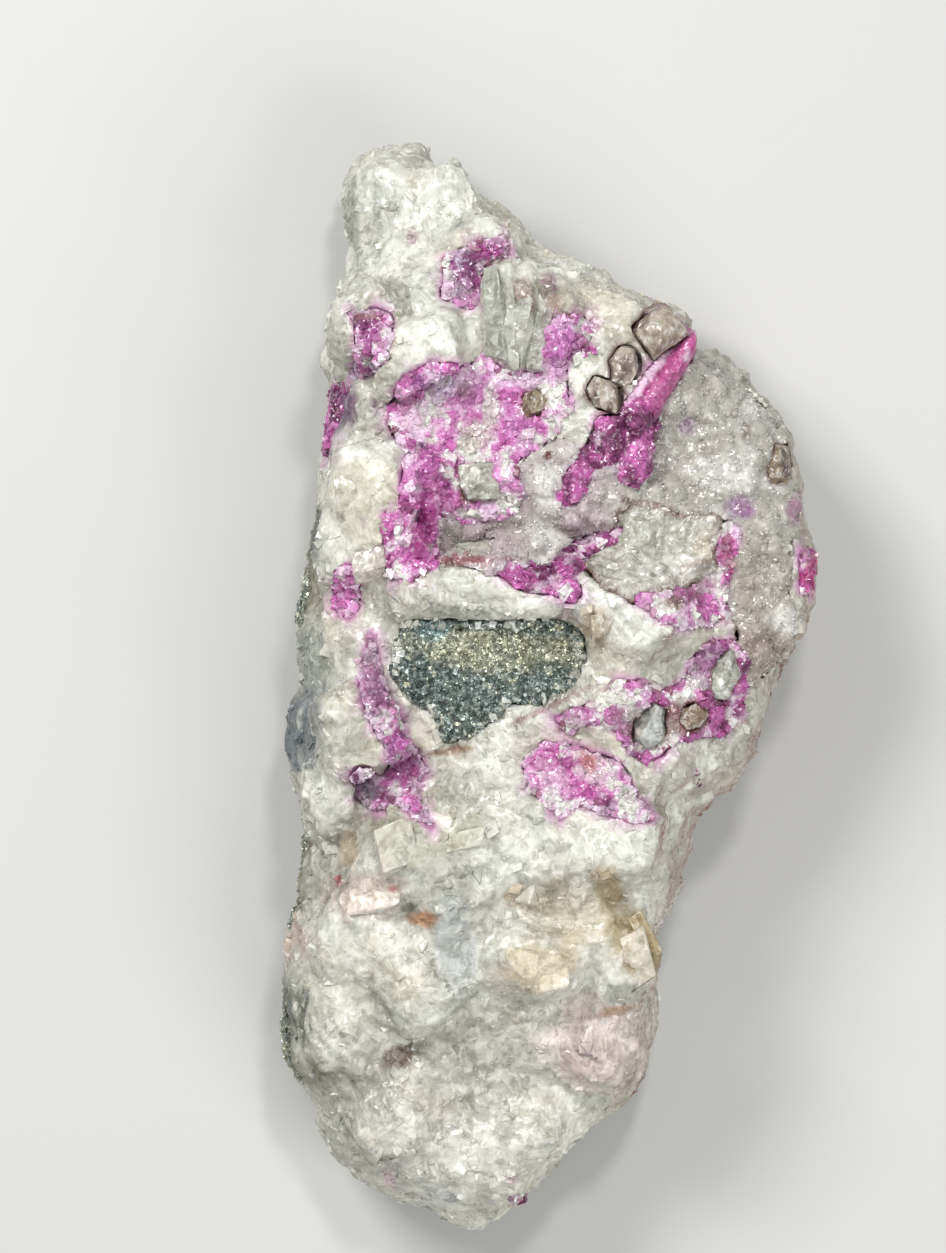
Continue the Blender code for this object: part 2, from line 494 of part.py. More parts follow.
def full_body():
    """The whole specimen as one solid: the lump, the blocks fused with it, and the flat foot."""
    body = lump()
    for cx, cy, cz, *rest in BLOCKS + [flank_block(*row) for row in FLANK_BLOCKS]:
        boolean(body, cleavage_block(rest[:3], rest[3:], (cx, cy, cz)), "UNION")
    for spar in BLADES:
        boolean(body, blade(*spar), "UNION")
    cleaned(body)
    decimated(body, BODY_SHARE)
    bm = bmesh.new()
    bm.from_mesh(body.data)
    geom = bm.verts[:] + bm.edges[:] + bm.faces[:]
    foot = bmesh.ops.bisect_plane(bm, geom=geom, plane_co=(0, 0, 0), plane_no=(0, 0, -1), clear_outer=True)
    rim = [e for e in foot["geom_cut"] if isinstance(e, bmesh.types.BMEdge)]
    bmesh.ops.triangle_fill(bm, use_beauty=True, edges=rim)
    bmesh.ops.recalc_face_normals(bm, faces=bm.faces)
    fit_plan(bm)
    bm.to_mesh(body.data)
    bm.free()
    return body


def fit_plan(bm):
    """Sizes the body to the stated width and length, with its plan centred on the origin."""
    points = np.array([vert.co for vert in bm.verts])
    low, high = points.min(axis=0), points.max(axis=0)
    scale = Vector((WIDTH / (high[0] - low[0]), LENGTH / (high[1] - low[1]), 1.0))
    middle = Vector(((low[0] + high[0]) / 2, (low[1] + high[1]) / 2, 0.0))
    for vert in bm.verts:
        vert.co = (vert.co - middle) * scale


def grown(outline, width):
    """The outline moved outwards by width, corner by corner."""
    points = [Vector(p) for p in outline]
    area = sum(a.cross(b) for a, b in zip(points, points[1:] + points[:1]))
    side = 1 if area > 0 else -1
    moved = []
    for i, here in enumerate(points):
        to_here = (here - points[i - 1]).normalized()
        onward = (points[(i + 1) % len(points)] - here).normalized()
        normals = [Vector((d.y, -d.x)) * side for d in (to_here, onward)]
        middle = (normals[0] + normals[1]).normalized()
        moved.append(here + middle * width / max(0.45, middle.dot(normals[0])))
    return moved


def tree_of(obj):
    """A search tree for ray casts on this object's faces."""
    bm = bmesh.new()
    bm.from_mesh(obj.data)
    tree = BVHTree.FromBMesh(bm)
    bm.free()
    return tree


def prism(outline, width):
    """A tall column over an outline, from inside the rock to above it."""
    bm = bmesh.new()
    verts = [bm.verts.new((p.x, p.y, COLUMN_FOOT)) for p in grown(outline, width)]
    base = bm.faces.new(verts)
    top = bmesh.ops.extrude_face_region(bm, geom=[base])
    lifted = [v for v in top["geom"] if isinstance(v, bmesh.types.BMVert)]
    bmesh.ops.translate(bm, vec=(0, 0, COLUMN_TOP - COLUMN_FOOT), verts=lifted)
    bmesh.ops.recalc_face_normals(bm, faces=bm.faces)
    bmesh.ops.triangulate(bm, faces=bm.faces)
    return new_object("prism", bm)


def heights(tree, x, y, steps):
    """Heights of the rock's face at these steps from a place, first its own if the rock is there."""
    down = Vector((0, 0, -1))
    hits = [tree.ray_cast(Vector((x + dx, y + dy, COLUMN_TOP)), down)[0] for dx, dy in steps]
    return [hit.z for hit in hits if hit] or [RIM_FLOOR]


def lowest_near(tree, x, y):
    """The lowest height of the rock's face at this place and one step around it, but no deep drop."""
    aside = (0, -FLOOR_STEP, FLOOR_STEP)
    found = heights(tree, x, y, itertools.product(aside, repeat=2))
    return max(min(found), found[0] - DEEPEST_DIP)


def bed_floor(tree, outline, depth):
    """A block that fills the rock under a bed: its top follows the face's low points at this depth."""
    xs, ys = [p.x for p in outline], [p.y for p in outline]
    low = Vector((min(xs) - BED_MARGIN, min(ys) - BED_MARGIN))
    span = Vector((max(xs) + BED_MARGIN, max(ys) + BED_MARGIN)) - low
    cells = [max(2, math.ceil(side / FLOOR_STEP)) for side in span]
    bm = bmesh.new()
    bmesh.ops.create_grid(bm, x_segments=cells[0], y_segments=cells[1], size=0.5)
    for vert in bm.verts:
        x, y = low.x + (vert.co.x + 0.5) * span.x, low.y + (vert.co.y + 0.5) * span.y
        vert.co = (x, y, lowest_near(tree, x, y) - depth)
    bottom = bmesh.ops.extrude_face_region(bm, geom=bm.faces[:])
    for vert in bottom["geom"]:
        if isinstance(vert, bmesh.types.BMVert):
            vert.co.z = DEEP_DOWN
    bmesh.ops.recalc_face_normals(bm, faces=bm.faces)
    bmesh.ops.triangulate(bm, faces=bm.faces)
    return new_object("bed_floor", bm)


def crest_near(tree, x, y, reach):
    """The highest point of the rock's face at this place and as far as reach to its sides."""
    return max(heights(tree, x, y, ((0, 0), (reach, 0), (-reach, 0), (0, reach), (0, -reach))))


def unit_prism(sides):
    """An upright prism, one unit from its axis to its corners and from its middle to its ends."""
    bm = bmesh.new()
    corner_turn = Matrix.Rotation(math.pi / sides, 4, "Z")
    bmesh.ops.create_cone(
        bm, cap_ends=True, segments=sides, radius1=1.0, radius2=1.0, depth=2.0, matrix=corner_turn
    )
    return bm


def seated(tree, row, bm, width):
    """Turns, sizes and seats a unit prism where a crystal stands with its chiselled end proud of the face."""
    _, x, y, half_x, half_y, deep, _, turns, proud, _ = row
    bmesh.ops.recalc_face_normals(bm, faces=bm.faces)
    turn = Euler([math.radians(a) for a in turns]).to_matrix().to_4x4()
    middle = crest_near(tree, x, y, min(half_x, half_y)) + proud - deep * CHISEL
    size = Matrix.Diagonal((half_x + width, half_y + width, deep + width, 1))
    placed = Matrix.Translation((x, y, middle)) @ turn @ size
    bmesh.ops.transform(bm, matrix=placed, verts=bm.verts)
    bmesh.ops.triangulate(bm, faces=bm.faces)
    return new_object("crystal", bm)


def socket(tree, row):
    """The hollow that a crystal stands in, open at the top."""
    bm = unit_prism(row[6])
    upper = [vert for vert in bm.verts if vert.co.z > 0]
    bmesh.ops.translate(bm, vec=(0, 0, SOCKET_OPENING / row[5]), verts=upper)
    return seated(tree, row, bm, GAP)


def socket_crystal(tree, row):
    """A short translucent prism with a chisel-shaped end."""
    bm = unit_prism(row[6])
    for normal in (Vector((0.5, 0.3, 1)), Vector((-0.45, 0.35, 1)), Vector((0.1, -0.6, 1))):
        geom = bm.verts[:] + bm.edges[:] + bm.faces[:]
        cut = bmesh.ops.bisect_plane(bm, geom=geom, plane_co=(0, 0, CHISEL), plane_no=normal, clear_outer=True)
        rim = [e for e in cut["geom_cut"] if isinstance(e, bmesh.types.BMEdge)]
        bmesh.ops.contextual_create(bm, geom=rim)
    return seated(tree, row, bm, 0.0)


def blade(tip, root, half_width, half_depth):
    """A magenta blade lying on the face: a six-sided spar that tapers to its tip."""
    run = tip - root
    bm = bmesh.new()
    bmesh.ops.create_cone(bm, cap_ends=True, segments=6, radius1=1.0, radius2=0.62, depth=run.length)
    size = Matrix.Diagonal((half_width, half_depth, 1, 1))
    turn = run.to_track_quat("Z", "Y").to_matrix().to_4x4()
    placed = Matrix.Translation((tip + root) / 2) @ turn @ size
    bmesh.ops.transform(bm, matrix=placed, verts=bm.verts)
    bmesh.ops.recalc_face_normals(bm, faces=bm.faces)
    bmesh.ops.triangulate(bm, faces=bm.faces)
    return new_object("blade", bm)


def neighbours(vert):
    return {edge.other_vert(vert) for edge in vert.link_edges}


def drop_crumbs(bm):
    """Keeps the largest of the closed bodies that a cut leaves."""
    left, bodies = set(bm.verts), []
    while left:
        body = {left.pop()}
        edge = set(body)
        while edge:
            edge = set().union(*(neighbours(vert) for vert in edge)) - body
            body |= edge
        left -= body
        bodies.append(body)
    bodies.sort(key=len)
    crumbs = [vert for body in bodies[:-1] for vert in body]
    bmesh.ops.delete(bm, geom=crumbs, context="VERTS")


def bridged(face):
    """Whether two corners of the face that aren't next to each other already share an edge elsewhere."""
    corners = set(face.verts)
    return any(len(neighbours(vert) & corners) > 2 for vert in face.verts)


def draw_in_slivers(bm):
    """Makes triangles, then closes up the very short edges that cuts leave, where the surface stays closed."""
    for face in [face for face in bm.faces if len(face.verts) > 3 and bridged(face)]:
        bmesh.ops.poke(bm, faces=[face])
    bmesh.ops.triangulate(bm, faces=bm.faces)
    for edge in sorted(bm.edges, key=lambda e: e.calc_length()):
        if not edge.is_valid or edge.calc_length() > SHORTEST_EDGE:
            continue
        one, other = edge.verts
        shared = neighbours(one) & neighbours(other)
        if len(shared) == 2 and min(len(vert.link_edges) for vert in shared) > 3:
            bmesh.ops.collapse(bm, edges=[edge], uvs=False)


def cleaned(obj):
    bm = bmesh.new()
    bm.from_mesh(obj.data)
    drop_crumbs(bm)
    draw_in_slivers(bm)
    bm.to_mesh(obj.data)
    bm.free()


def finish(obj, name, material):
    """Names a piece, scales it to metres and gives it its material."""
    cleaned(obj)
    obj.name = name
    obj.data.transform(Matrix.Scale(METRE, 4))
    shader = bpy.data.materials.get(material) or bpy.data.materials.new(material)
    shader.use_nodes = True
    colour, roughness, metallic = COLOURS[material]
    surface = shader.node_tree.nodes["Principled BSDF"]
    surface.inputs["Base Color"].default_value = colour
    surface.inputs["Roughness"].default_value = roughness
    surface.inputs["Metallic"].default_value = metallic
    obj.data.materials.clear()
    obj.data.materials.append(shader)


def let_in(matrix, inlays, turn):
    """Takes a set of crusts out of the matrix, seen from above once it is turned, and leaves each its bed.

    The exact solver leaves open edges where two beds graze each other, so these cuts use the manifold one.
    """
    matrix.data.transform(turn)
    tree = tree_of(matrix)
    for name, plan, thickness, material in inlays:
        outline = [(turn @ Vector((x, y, FLANK_HEIGHT))).to_2d() for x, y in plan]
        piece = prism(outline, 0.0)
        boolean(piece, bed_floor(tree, outline, thickness), "DIFFERENCE", solver="MANIFOLD")
        boolean(piece, matrix, "INTERSECT", keep_other=True, solver="MANIFOLD")
        piece.data.transform(turn.inverted())
        finish(piece, name, material)
        bed = prism(outline, GAP)
        boolean(bed, bed_floor(tree, outline, thickness + GAP_UNDER), "DIFFERENCE", solver="MANIFOLD")
        boolean(matrix, bed, "DIFFERENCE", solver="MANIFOLD")
    matrix.data.transform(turn.inverted())


def build():
    for obj in list(bpy.data.objects):
        bpy.data.objects.remove(obj)
    matrix = full_body()
    whole = tree_of(matrix)
    for row in SOCKET_CRYSTALS:
        boolean(matrix, socket(whole, row), "DIFFERENCE", solver="MANIFOLD")
    let_in(matrix, FACE_INLAYS, Matrix.Identity(4))
    let_in(matrix, LEFT_INLAYS, Matrix.Rotation(LEFT_FLANK_TURN, 4, "Y"))
    for row in SOCKET_CRYSTALS:
        finish(socket_crystal(whole, row), row[0], row[-1])
    finish(matrix, "calcite_matrix", "calcite")


build()
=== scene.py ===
"""A cobaltoan calcite specimen lying on its back, seen from straight above its crystal face.

Each CAD solid is stood for by a finer body of the same form: a skin with the mineral's own relief, and
the small crystals that grow on it. Sizes are in millimetres, in the CAD's frame, and MM turns them into
metres.
"""

import itertools
import math

import bmesh
import bpy
import numpy as np
from mathutils import Matrix, Vector
from mathutils.bvhtree import BVHTree


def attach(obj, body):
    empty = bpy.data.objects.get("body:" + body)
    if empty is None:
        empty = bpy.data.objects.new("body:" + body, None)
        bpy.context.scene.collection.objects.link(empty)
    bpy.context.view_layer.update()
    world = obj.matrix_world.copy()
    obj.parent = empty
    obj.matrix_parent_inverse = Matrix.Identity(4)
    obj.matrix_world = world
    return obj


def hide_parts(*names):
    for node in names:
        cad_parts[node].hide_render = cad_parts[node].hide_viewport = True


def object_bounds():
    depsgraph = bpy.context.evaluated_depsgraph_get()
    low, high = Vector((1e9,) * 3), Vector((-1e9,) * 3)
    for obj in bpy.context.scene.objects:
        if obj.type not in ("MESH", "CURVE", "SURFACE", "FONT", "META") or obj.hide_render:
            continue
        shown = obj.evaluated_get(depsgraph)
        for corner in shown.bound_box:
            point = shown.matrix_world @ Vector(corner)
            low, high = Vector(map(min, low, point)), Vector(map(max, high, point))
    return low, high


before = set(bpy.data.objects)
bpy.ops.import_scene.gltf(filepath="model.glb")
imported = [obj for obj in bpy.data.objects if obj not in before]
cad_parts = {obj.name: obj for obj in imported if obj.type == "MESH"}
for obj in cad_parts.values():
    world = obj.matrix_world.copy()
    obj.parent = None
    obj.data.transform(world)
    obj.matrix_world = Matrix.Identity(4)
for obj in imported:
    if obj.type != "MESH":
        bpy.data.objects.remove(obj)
cad_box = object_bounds()

# White calcite mass
# The rock itself: milky to clear calcite, broken along its three cleavage directions into steps.
# It is one intergrown mass, so its skin is one closed body.

MM = 0.001
MASS_VOXEL = 0.49
MASS_GROWTH = 0.2
WORN_ROUNDS = 90
STEP_ANGLE = math.radians(32)
# Random numbers and turns that the noise and the grains look up, by a hash of the cell
TABLE = 8192
DRAWS = np.random.default_rng(11)
JITTER = DRAWS.random((TABLE, 3))
LIFT = DRAWS.random(TABLE)
HASH = np.array((73856093, 19349663, 83492791))
LOW_CORNER = np.array(cad_box[0]) / MM
HIGH_CORNER = np.array(cad_box[1]) / MM


def random_turns(count, draws):
    """Evenly spread turns, as matrices."""
    w, x, y, z = (draws.normal(size=(4, count)))
    length = np.sqrt(w * w + x * x + y * y + z * z)
    w, x, y, z = w / length, x / length, y / length, z / length
    rows = [
        [1 - 2 * (y * y + z * z), 2 * (x * y - z * w), 2 * (x * z + y * w)],
        [2 * (x * y + z * w), 1 - 2 * (x * x + z * z), 2 * (y * z - x * w)],
        [2 * (x * z - y * w), 2 * (y * z + x * w), 1 - 2 * (x * x + y * y)],
    ]
    return np.array(rows).transpose(2, 0, 1)


TURNS = random_turns(TABLE, DRAWS)


def linear(code):
    """An sRGB hex colour as linear light."""
    values = np.array([int(code[i:i + 2], 16) for i in (1, 3, 5)]) / 255
    return np.where(values <= 0.04045, values / 12.92, ((values + 0.055) / 1.055) ** 2.4)


def lattice_row(cells, seed):
    return (np.bitwise_xor.reduce(cells * HASH, axis=-1) + seed * 1013) % TABLE


def soft_noise(points, cell, seed):
    """Smooth noise between -1 and 1 with features about one cell across."""
    grid = points / cell + seed * 7.31
    home = np.floor(grid).astype(np.int64)
    part = grid - home
    part = part * part * (3 - 2 * part)
    total = np.zeros(len(points))
    for corner in itertools.product((0, 1), repeat=3):
        weight = np.prod(np.where(corner, part, 1 - part), axis=1)
        total += LIFT[lattice_row(home + np.array(corner), seed)] * weight
    return total * 2 - 1


def around(points, cell, seed):
    """For each of the 27 cells round a point: its row in the tables, and the way from it to the point."""
    home = np.floor(points / cell).astype(np.int64)
    for step in itertools.product((-1, 0, 1), repeat=3):
        cells = home + np.array(step)
        row = lattice_row(cells, seed)
        yield row, points - (cells + JITTER[row]) * cell


def grain_of(points, cell, seed):
    """The number of the crystal that each point lies in, for crystals about one cell across."""
    nearest, name = np.full(len(points), 1e9), np.zeros(len(points), np.int64)
    for row, away in around(points, cell, seed):
        distance = np.linalg.norm(away, axis=1)
        nearer = distance < nearest
        nearest[nearer], name[nearer] = distance[nearer], row[nearer]
    return name


def cleavage_steps(points, cell, grain, seed):
    """Height of a broken cleavage surface: flat steps about a cell across, turned alike within each grain."""
    turned = np.einsum("nij,nj->ni", TURNS[grain_of(points, grain, seed)], points)
    best = np.full(len(points), -1e9)
    for row, away in around(turned, cell, seed + 1):
        best = np.maximum(best, LIFT[row] * cell * 0.6 - np.abs(away).max(axis=1))
    return best - best.mean()


def points_of(mesh):
    flat = np.empty(len(mesh.vertices) * 3, np.float32)
    mesh.vertices.foreach_get("co", flat)
    return flat.reshape(-1, 3).astype(float)


def normals_of(mesh):
    flat = np.empty(len(mesh.vertices) * 3, np.float32)
    mesh.vertices.foreach_get("normal", flat)
    return flat.reshape(-1, 3).astype(float)


def triangles_of(mesh):
    mesh.calc_loop_triangles()
    flat = np.empty(len(mesh.loop_triangles) * 3, np.int32)
    mesh.loop_triangles.foreach_get("vertices", flat)
    return flat.reshape(-1, 3)


def set_points(mesh, points):
    mesh.vertices.foreach_set("co", points.astype(np.float32).ravel())
    mesh.update()


def solid_of(node):
    """A CAD solid's surface in millimetres, with its loose triangles joined."""
    bm = bmesh.new()
    bm.from_mesh(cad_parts[node].data)
    bmesh.ops.scale(bm, vec=(1 / MM,) * 3, verts=bm.verts)
    bmesh.ops.remove_doubles(bm, verts=bm.verts, dist=0.001)
    return bm


def in_scene(name, data):
    """A new object in the scene: from a mesh that is being built, or from finished data."""
    if isinstance(data, bmesh.types.BMesh):
        mesh = bpy.data.meshes.new(name)
        data.to_mesh(mesh)
        data.free()
        data = mesh
    obj = bpy.data.objects.new(name, data)
    bpy.context.scene.collection.objects.link(obj)
    return obj


def fine_skin(name, node, voxel, grow):
    """A fine, even, slightly larger copy of a CAD solid, in millimetres, so that it meets its neighbours."""
    obj = in_scene(name, solid_of(node))
    remesh = obj.modifiers.new("even", "REMESH")
    remesh.mode = "VOXEL"
    remesh.voxel_size = voxel
    bpy.context.view_layer.update()
    even = obj.evaluated_get(bpy.context.evaluated_depsgraph_get())
    obj.data = bpy.data.meshes.new_from_object(even)
    obj.modifiers.clear()
    set_points(obj.data, points_of(obj.data) + normals_of(obj.data) * grow)
    return obj


def evened(mesh, points, rounds, weight):
    """Wears a skin's edges down: each point moves towards the middle of its neighbours, by its own weight."""
    ends = np.empty(len(mesh.edges) * 2, np.int32)
    mesh.edges.foreach_get("vertices", ends)
    start, end = ends.reshape(-1, 2).T
    total = len(points)
    count = np.bincount(start, minlength=total) + np.bincount(end, minlength=total)
    for _ in range(rounds):
        middle = np.column_stack([
            np.bincount(start, points[end, i], total) + np.bincount(end, points[start, i], total)
            for i in range(3)
        ]) / count[:, None]
        points = points + (middle - points) * 0.6 * weight[:, None]
    return points


def displaced(obj, height):
    """Moves a skin's points along their normals by a height for each."""
    set_points(obj.data, points_of(obj.data) + normals_of(obj.data) * height[:, None])


def settle(obj, node_names, tones, material, sharp=STEP_ANGLE):
    """Finishes a piece: inside the CAD box, in metres, coloured, shaded, and bound to the CAD."""
    mesh = obj.data
    set_points(mesh, np.clip(points_of(mesh), LOW_CORNER + 0.01, HIGH_CORNER - 0.01) * MM)
    layer = mesh.attributes.new("tone", "FLOAT_COLOR", "POINT")
    colours = np.column_stack((tones, np.ones(len(tones)))).astype(np.float32)
    layer.data.foreach_set("color", colours.ravel())
    mesh.materials.clear()
    mesh.materials.append(material)
    if sharp is None:
        mesh.shade_flat()
    else:
        mesh.shade_smooth()
        mesh.set_sharp_from_angle(angle=sharp)
    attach(obj, "root")
    if node_names:
        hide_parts(*node_names)


def all_one(colour, points):
    """The same colour at every point."""
    return np.repeat(colour[None], len(points), axis=0)


def towards(tones, colour, weight):
    return tones + (colour - tones) * np.clip(weight, 0, 1)[:, None]


def zone(points, place, half, turn, seed):
    """How far each point lies in a stain: 1 inside, 0 outside, with a ragged edge."""
    away = points[:, :2] - np.array(place)
    angle = math.radians(turn)
    along = away @ np.array((math.cos(angle), math.sin(angle)))
    across = away @ np.array((-math.sin(angle), math.cos(angle)))
    reach = np.hypot(along / half[0], across / half[1])
    ragged = reach + 0.28 * soft_noise(points, 1.3, seed) + 0.14 * soft_noise(points, 0.5, seed + 1)
    return np.clip((1.15 - ragged) / 0.5, 0, 1)


def stained(tones, points, stains, seed, share=1.0):
    """Colours with a list of stains laid over them, each with a ragged edge of its own."""
    for i, (_, code, place, half, turn, strength) in enumerate(stains):
        weight = zone(points, place, half, turn, seed + 2 * i) * strength * share
        tones = towards(tones, linear(code), weight)
    return tones


# Stains and clearer or whiter parts of the calcite: name, colour, centre, half size, turn in degrees,
# strength
CALCITE_STAINS = [
    ("grey-green spot of the top lobe", "#7d8a78", (-16.4, 49.5), (1.1, 1.0), 0, 0.8),
    ("second grey-green spot", "#84917f", (-16.6, 46.9), (1.0, 0.8), 0, 0.7),
    ("dusty pink spot", "#a8788f", (-13.0, 45.2), (0.7, 0.9), 0, 0.8),
    ("grey left edge of the lobe", "#a5a69c", (-19.8, 48.5), (1.2, 4.6), 0, 0.7),
    ("tan grain of the lobe", "#c0b49c", (-13.0, 51.2), (1.0, 1.3), 0, 0.6),
    ("white block under the lobe", "#dfe0d8", (-10.4, 36.5), (4.2, 4.8), 0, 0.7),
    ("clear grey-green prisms", "#a9ac9f", (-4.6, 37.0), (1.6, 6.4), 4, 0.7),
    ("second clear prism", "#b4b7ae", (-1.6, 34.6), (1.6, 4.0), -4, 0.6),
    ("tan lens crystal", "#957b69", (-2.0, 39.0), (1.1, 2.2), 12, 0.8),
    ("second tan lens crystal", "#94796a", (0.9, 38.2), (1.0, 1.8), -14, 0.8),
    ("dark pink pit", "#7b4861", (0.4, 40.5), (0.8, 1.0), 0, 0.7),
    ("cream upper right ledge", "#d3cdb8", (6.0, 37.4), (5.0, 2.4), -38, 0.5),
    ("grey granular part", "#c2c1b8", (-16.6, 27.8), (2.6, 2.8), 0, 0.6),
    ("lilac granular edge", "#b29db0", (-20.9, 24.2), (1.6, 2.2), 0, 0.7),
    ("cream cleavage block", "#cfcbb8", (-17.8, 18.5), (4.6, 6.8), 0, 0.75),
    ("white cap of the cream block", "#e2e2db", (-17.4, 23.8), (3.0, 1.3), 0, 0.8),
    ("dark green left flank", "#5a6158", (-23.4, 15.0), (1.3, 3.6), 0, 0.85),
    ("grey-green left flank", "#8d938b", (-23.6, 2.8), (2.1, 4.2), 0, 0.75),
    ("dark blue-grey flank", "#4f585f", (-23.0, -4.2), (1.3, 4.2), 0, 0.8),
    ("shiny grey flank", "#70716c", (-26.2, -6.2), (1.4, 5.4), 0, 0.8),
    ("pink-cream flank", "#c4ad9e", (-26.3, -24.0), (1.2, 3.4), 0, 0.6),
    ("dark green lower flank", "#565c50", (-26.4, -32.4), (1.2, 4.2), 0, 0.7),
    ("white crest over the sulphide", "#e4e4dc", (-4.0, 9.6), (10.4, 2.2), -2, 0.75),
    ("peach lump", "#c9b393", (5.3, 6.4), (2.0, 1.8), 0, 0.7),
    ("white bulb", "#dfe0d7", (9.0, 6.6), (4.0, 2.4), 0, 0.85),
    ("grey-cream below the sulphide", "#c0baa8", (-9.4, -4.2), (2.6, 3.6), 20, 0.6),
    ("rust line", "#8b6146", (-9.4, -5.9), (2.4, 0.35), 8, 0.8),
    ("red-brown seam", "#84535a", (0.2, -1.6), (5.2, 0.4), 26, 0.7),
    ("rounded grey-cream lump", "#b7b5a5", (-18.6, -4.5), (4.4, 4.7), 0, 0.6),
    ("pale facets", "#a9a793", (-12.6, -14.6), (5.6, 3.2), 6, 0.75),
    ("olive facet", "#a9a78c", (-8.1, -14.4), (2.0, 1.0), 10, 0.7),
    ("tan triangle", "#ab9577", (-19.4, -16.0), (1.1, 2.1), 0, 0.7),
    ("pink-peach streak", "#c3a598", (-17.9, -20.2), (4.2, 2.2), 12, 0.55),
    ("red spot", "#b0525a", (-20.4, -19.0), (0.45, 0.45), 0, 0.8),
    ("second red spot", "#b0525a", (-14.9, -19.5), (0.5, 0.35), 0, 0.8),
    ("rust-orange spot", "#b4794f", (-11.9, -22.5), (1.5, 0.8), 0, 0.8),
    ("orange centre of the lower crust", "#b17a48", (4.2, -6.4), (0.8, 1.0), 0, 0.8),
    ("lilac granular part", "#c4a5bb", (7.6, -10.8), (2.2, 1.9), 0, 0.7),
    ("bright granular shelf", "#dedfd2", (6.6, -14.8), (8.0, 3.2), 0, 0.75),
    ("tan grain of the waist", "#b39f84", (-2.4, -20.2), (1.6, 1.3), 0, 0.7),
    ("tan-brown prism", "#97815f", (6.3, -19.4), (1.6, 2.6), 24, 0.8),
    ("amber block", "#8f7848", (9.4, -25.4), (2.4, 4.8), 32, 0.8),
    ("tan spread beside the amber", "#b3a588", (3.4, -21.6), (5.4, 3.0), -14, 0.55),
    ("orange-tan block", "#b49f7b", (-0.8, -27.0), (4.8, 2.8), 10, 0.6),
    ("white under the tan block", "#ebebe2", (-0.4, -31.8), (2.2, 0.8), 0, 0.8),
    ("pink lower right", "#d6beb9", (5.6, -35.4), (6.2, 5.4), 0, 0.5),
    ("lilac-pink heart of it", "#c2a1a9", (3.6, -36.8), (2.6, 2.2), 30, 0.4),
    ("blue-grey streak", "#aeb4b5", (-8.9, -25.0), (2.0, 5.8), 8, 0.6),
    ("grey lower middle", "#b2b0a4", (-6.4, -38.2), (7.6, 5.6), 0, 0.55),
    ("dark brown pit", "#61503f", (-14.6, -36.4), (1.9, 1.2), 28, 0.9),
    ("cream lower left", "#d0ccba", (-19.8, -29.0), (4.4, 5.2), 0, 0.5),
    ("dark blue spot", "#59606e", (-9.4, -50.8), (1.1, 0.6), 0, 0.8),
    ("magenta spot of the foot", "#a4507f", (-3.2, -48.6), (0.5, 0.6), 0, 0.8),
    ("second magenta spot", "#a4507f", (-2.4, -51.0), (1.0, 0.5), 10, 0.8),
    ("magenta edge of the foot", "#9c4a7c", (-12.4, -53.4), (1.4, 0.9), -20, 0.8),
    ("pale pink of the foot", "#cda7b6", (-15.4, -49.0), (0.8, 1.4), 0, 0.7),
    ("grey right flank strip", "#9a988f", (13.2, -17.0), (1.4, 3.4), 0, 0.6),
    ("red-brown line along the crest", "#8f5358", (-8.0, 12.6), (5.2, 0.34), 2, 0.8),
    ("magenta edge of the rim", "#93356f", (26.6, 11.6), (0.9, 2.0), 0, 0.9),
    ("plum left edge", "#763a66", (-20.7, 28.9), (1.8, 2.0), -20, 0.95),
    ("blue-black glass in it", "#45425a", (-20.2, 27.4), (1.1, 0.6), 0, 0.85),
    ("pale foot", "#d3d0c9", (-9.0, -47.0), (9.0, 5.0), 0, 0.5),
    ("greyer top lobe", "#c4c4ba", (-14.4, 48.6), (6.0, 6.2), 0, 0.5),
    ("pale facets of the shoulder", "#aeac9b", (-12.0, -12.6), (6.4, 4.0), 0, 0.75),
    ("brown line of the lower pink part", "#9c7350", (7.2, -31.6), (3.0, 0.5), 14, 0.7),
]
# Where the break runs through one crystal, its faces are broad and smooth: centre, half size, turn in degrees
BROAD_FACES = [
    ((-17.6, 18.0), (4.6, 7.2), 0), ((-10.4, 36.0), (4.4, 5.2), 0), ((-4.0, 37.0), (3.4, 6.6), 4),
    ((8.6, 6.4), (5.2, 2.8), 0), ((-18.6, -4.8), (4.2, 4.6), 0), ((-12.6, -15.2), (5.6, 3.4), 8),
    ((8.6, -26.6), (3.0, 3.8), 14), ((-0.8, -27.2), (5.0, 3.0), 0), ((-19.4, -16.0), (1.8, 2.8), 0),
    ((-4.0, 9.6), (8.0, 1.8), -2), ((-17.4, -20.4), (3.8, 2.0), 12), ((5.6, -36.0), (3.4, 3.4), 0),
]
# The height above the table below which the stains of the face have faded out on the sides
STAIN_FOOT = 6.0
# Colours of the steep left side, from top to bottom: place and half length along y, colour, strength.
# Each is a patch about the middle of the height that the view from above shows
SIDE_MIDDLE = 15.0
SIDE_HALF = 8.0
LEFT_SIDE_STAINS = [
    (47.5, 4.0, "#8f958b", 0.7), (28.0, 2.6, "#5f3a5c", 0.8), (15.0, 4.0, "#545c53", 0.95),
    (9.6, 3.0, "#7b755a", 0.9), (2.8, 3.8, "#868c83", 0.85), (-4.2, 4.4, "#525c63", 0.95),
    (-10.8, 2.2, "#b3b1a9", 0.7), (-19.0, 5.0, "#74705b", 0.9), (-25.0, 2.6, "#bda596", 0.8),
    (-32.4, 4.2, "#545b4e", 0.95), (-38.0, 2.0, "#6f6d4f", 0.9), (-45.0, 4.0, "#aaa9a0", 0.6),
]
CALCITE_WHITE = linear("#dcdcd2")
CALCITE_GREY = linear("#b7b5a9")
CALCITE_CREAM = linear("#d6cfba")
CALCITE_CLEAR = linear("#9fa096")
PINK_STAIN = linear("#c98bbb")
PINK_DEEP = linear("#b05a9c")
CONTACT_BROWN = linear("#7b4f4a")
# Painted shade for the dark gaps round the crystals in their sockets
SOCKET_GAP_PAINTED_SHADE = linear("#57383a")
SIDE_BROWN = linear("#9c8a80")
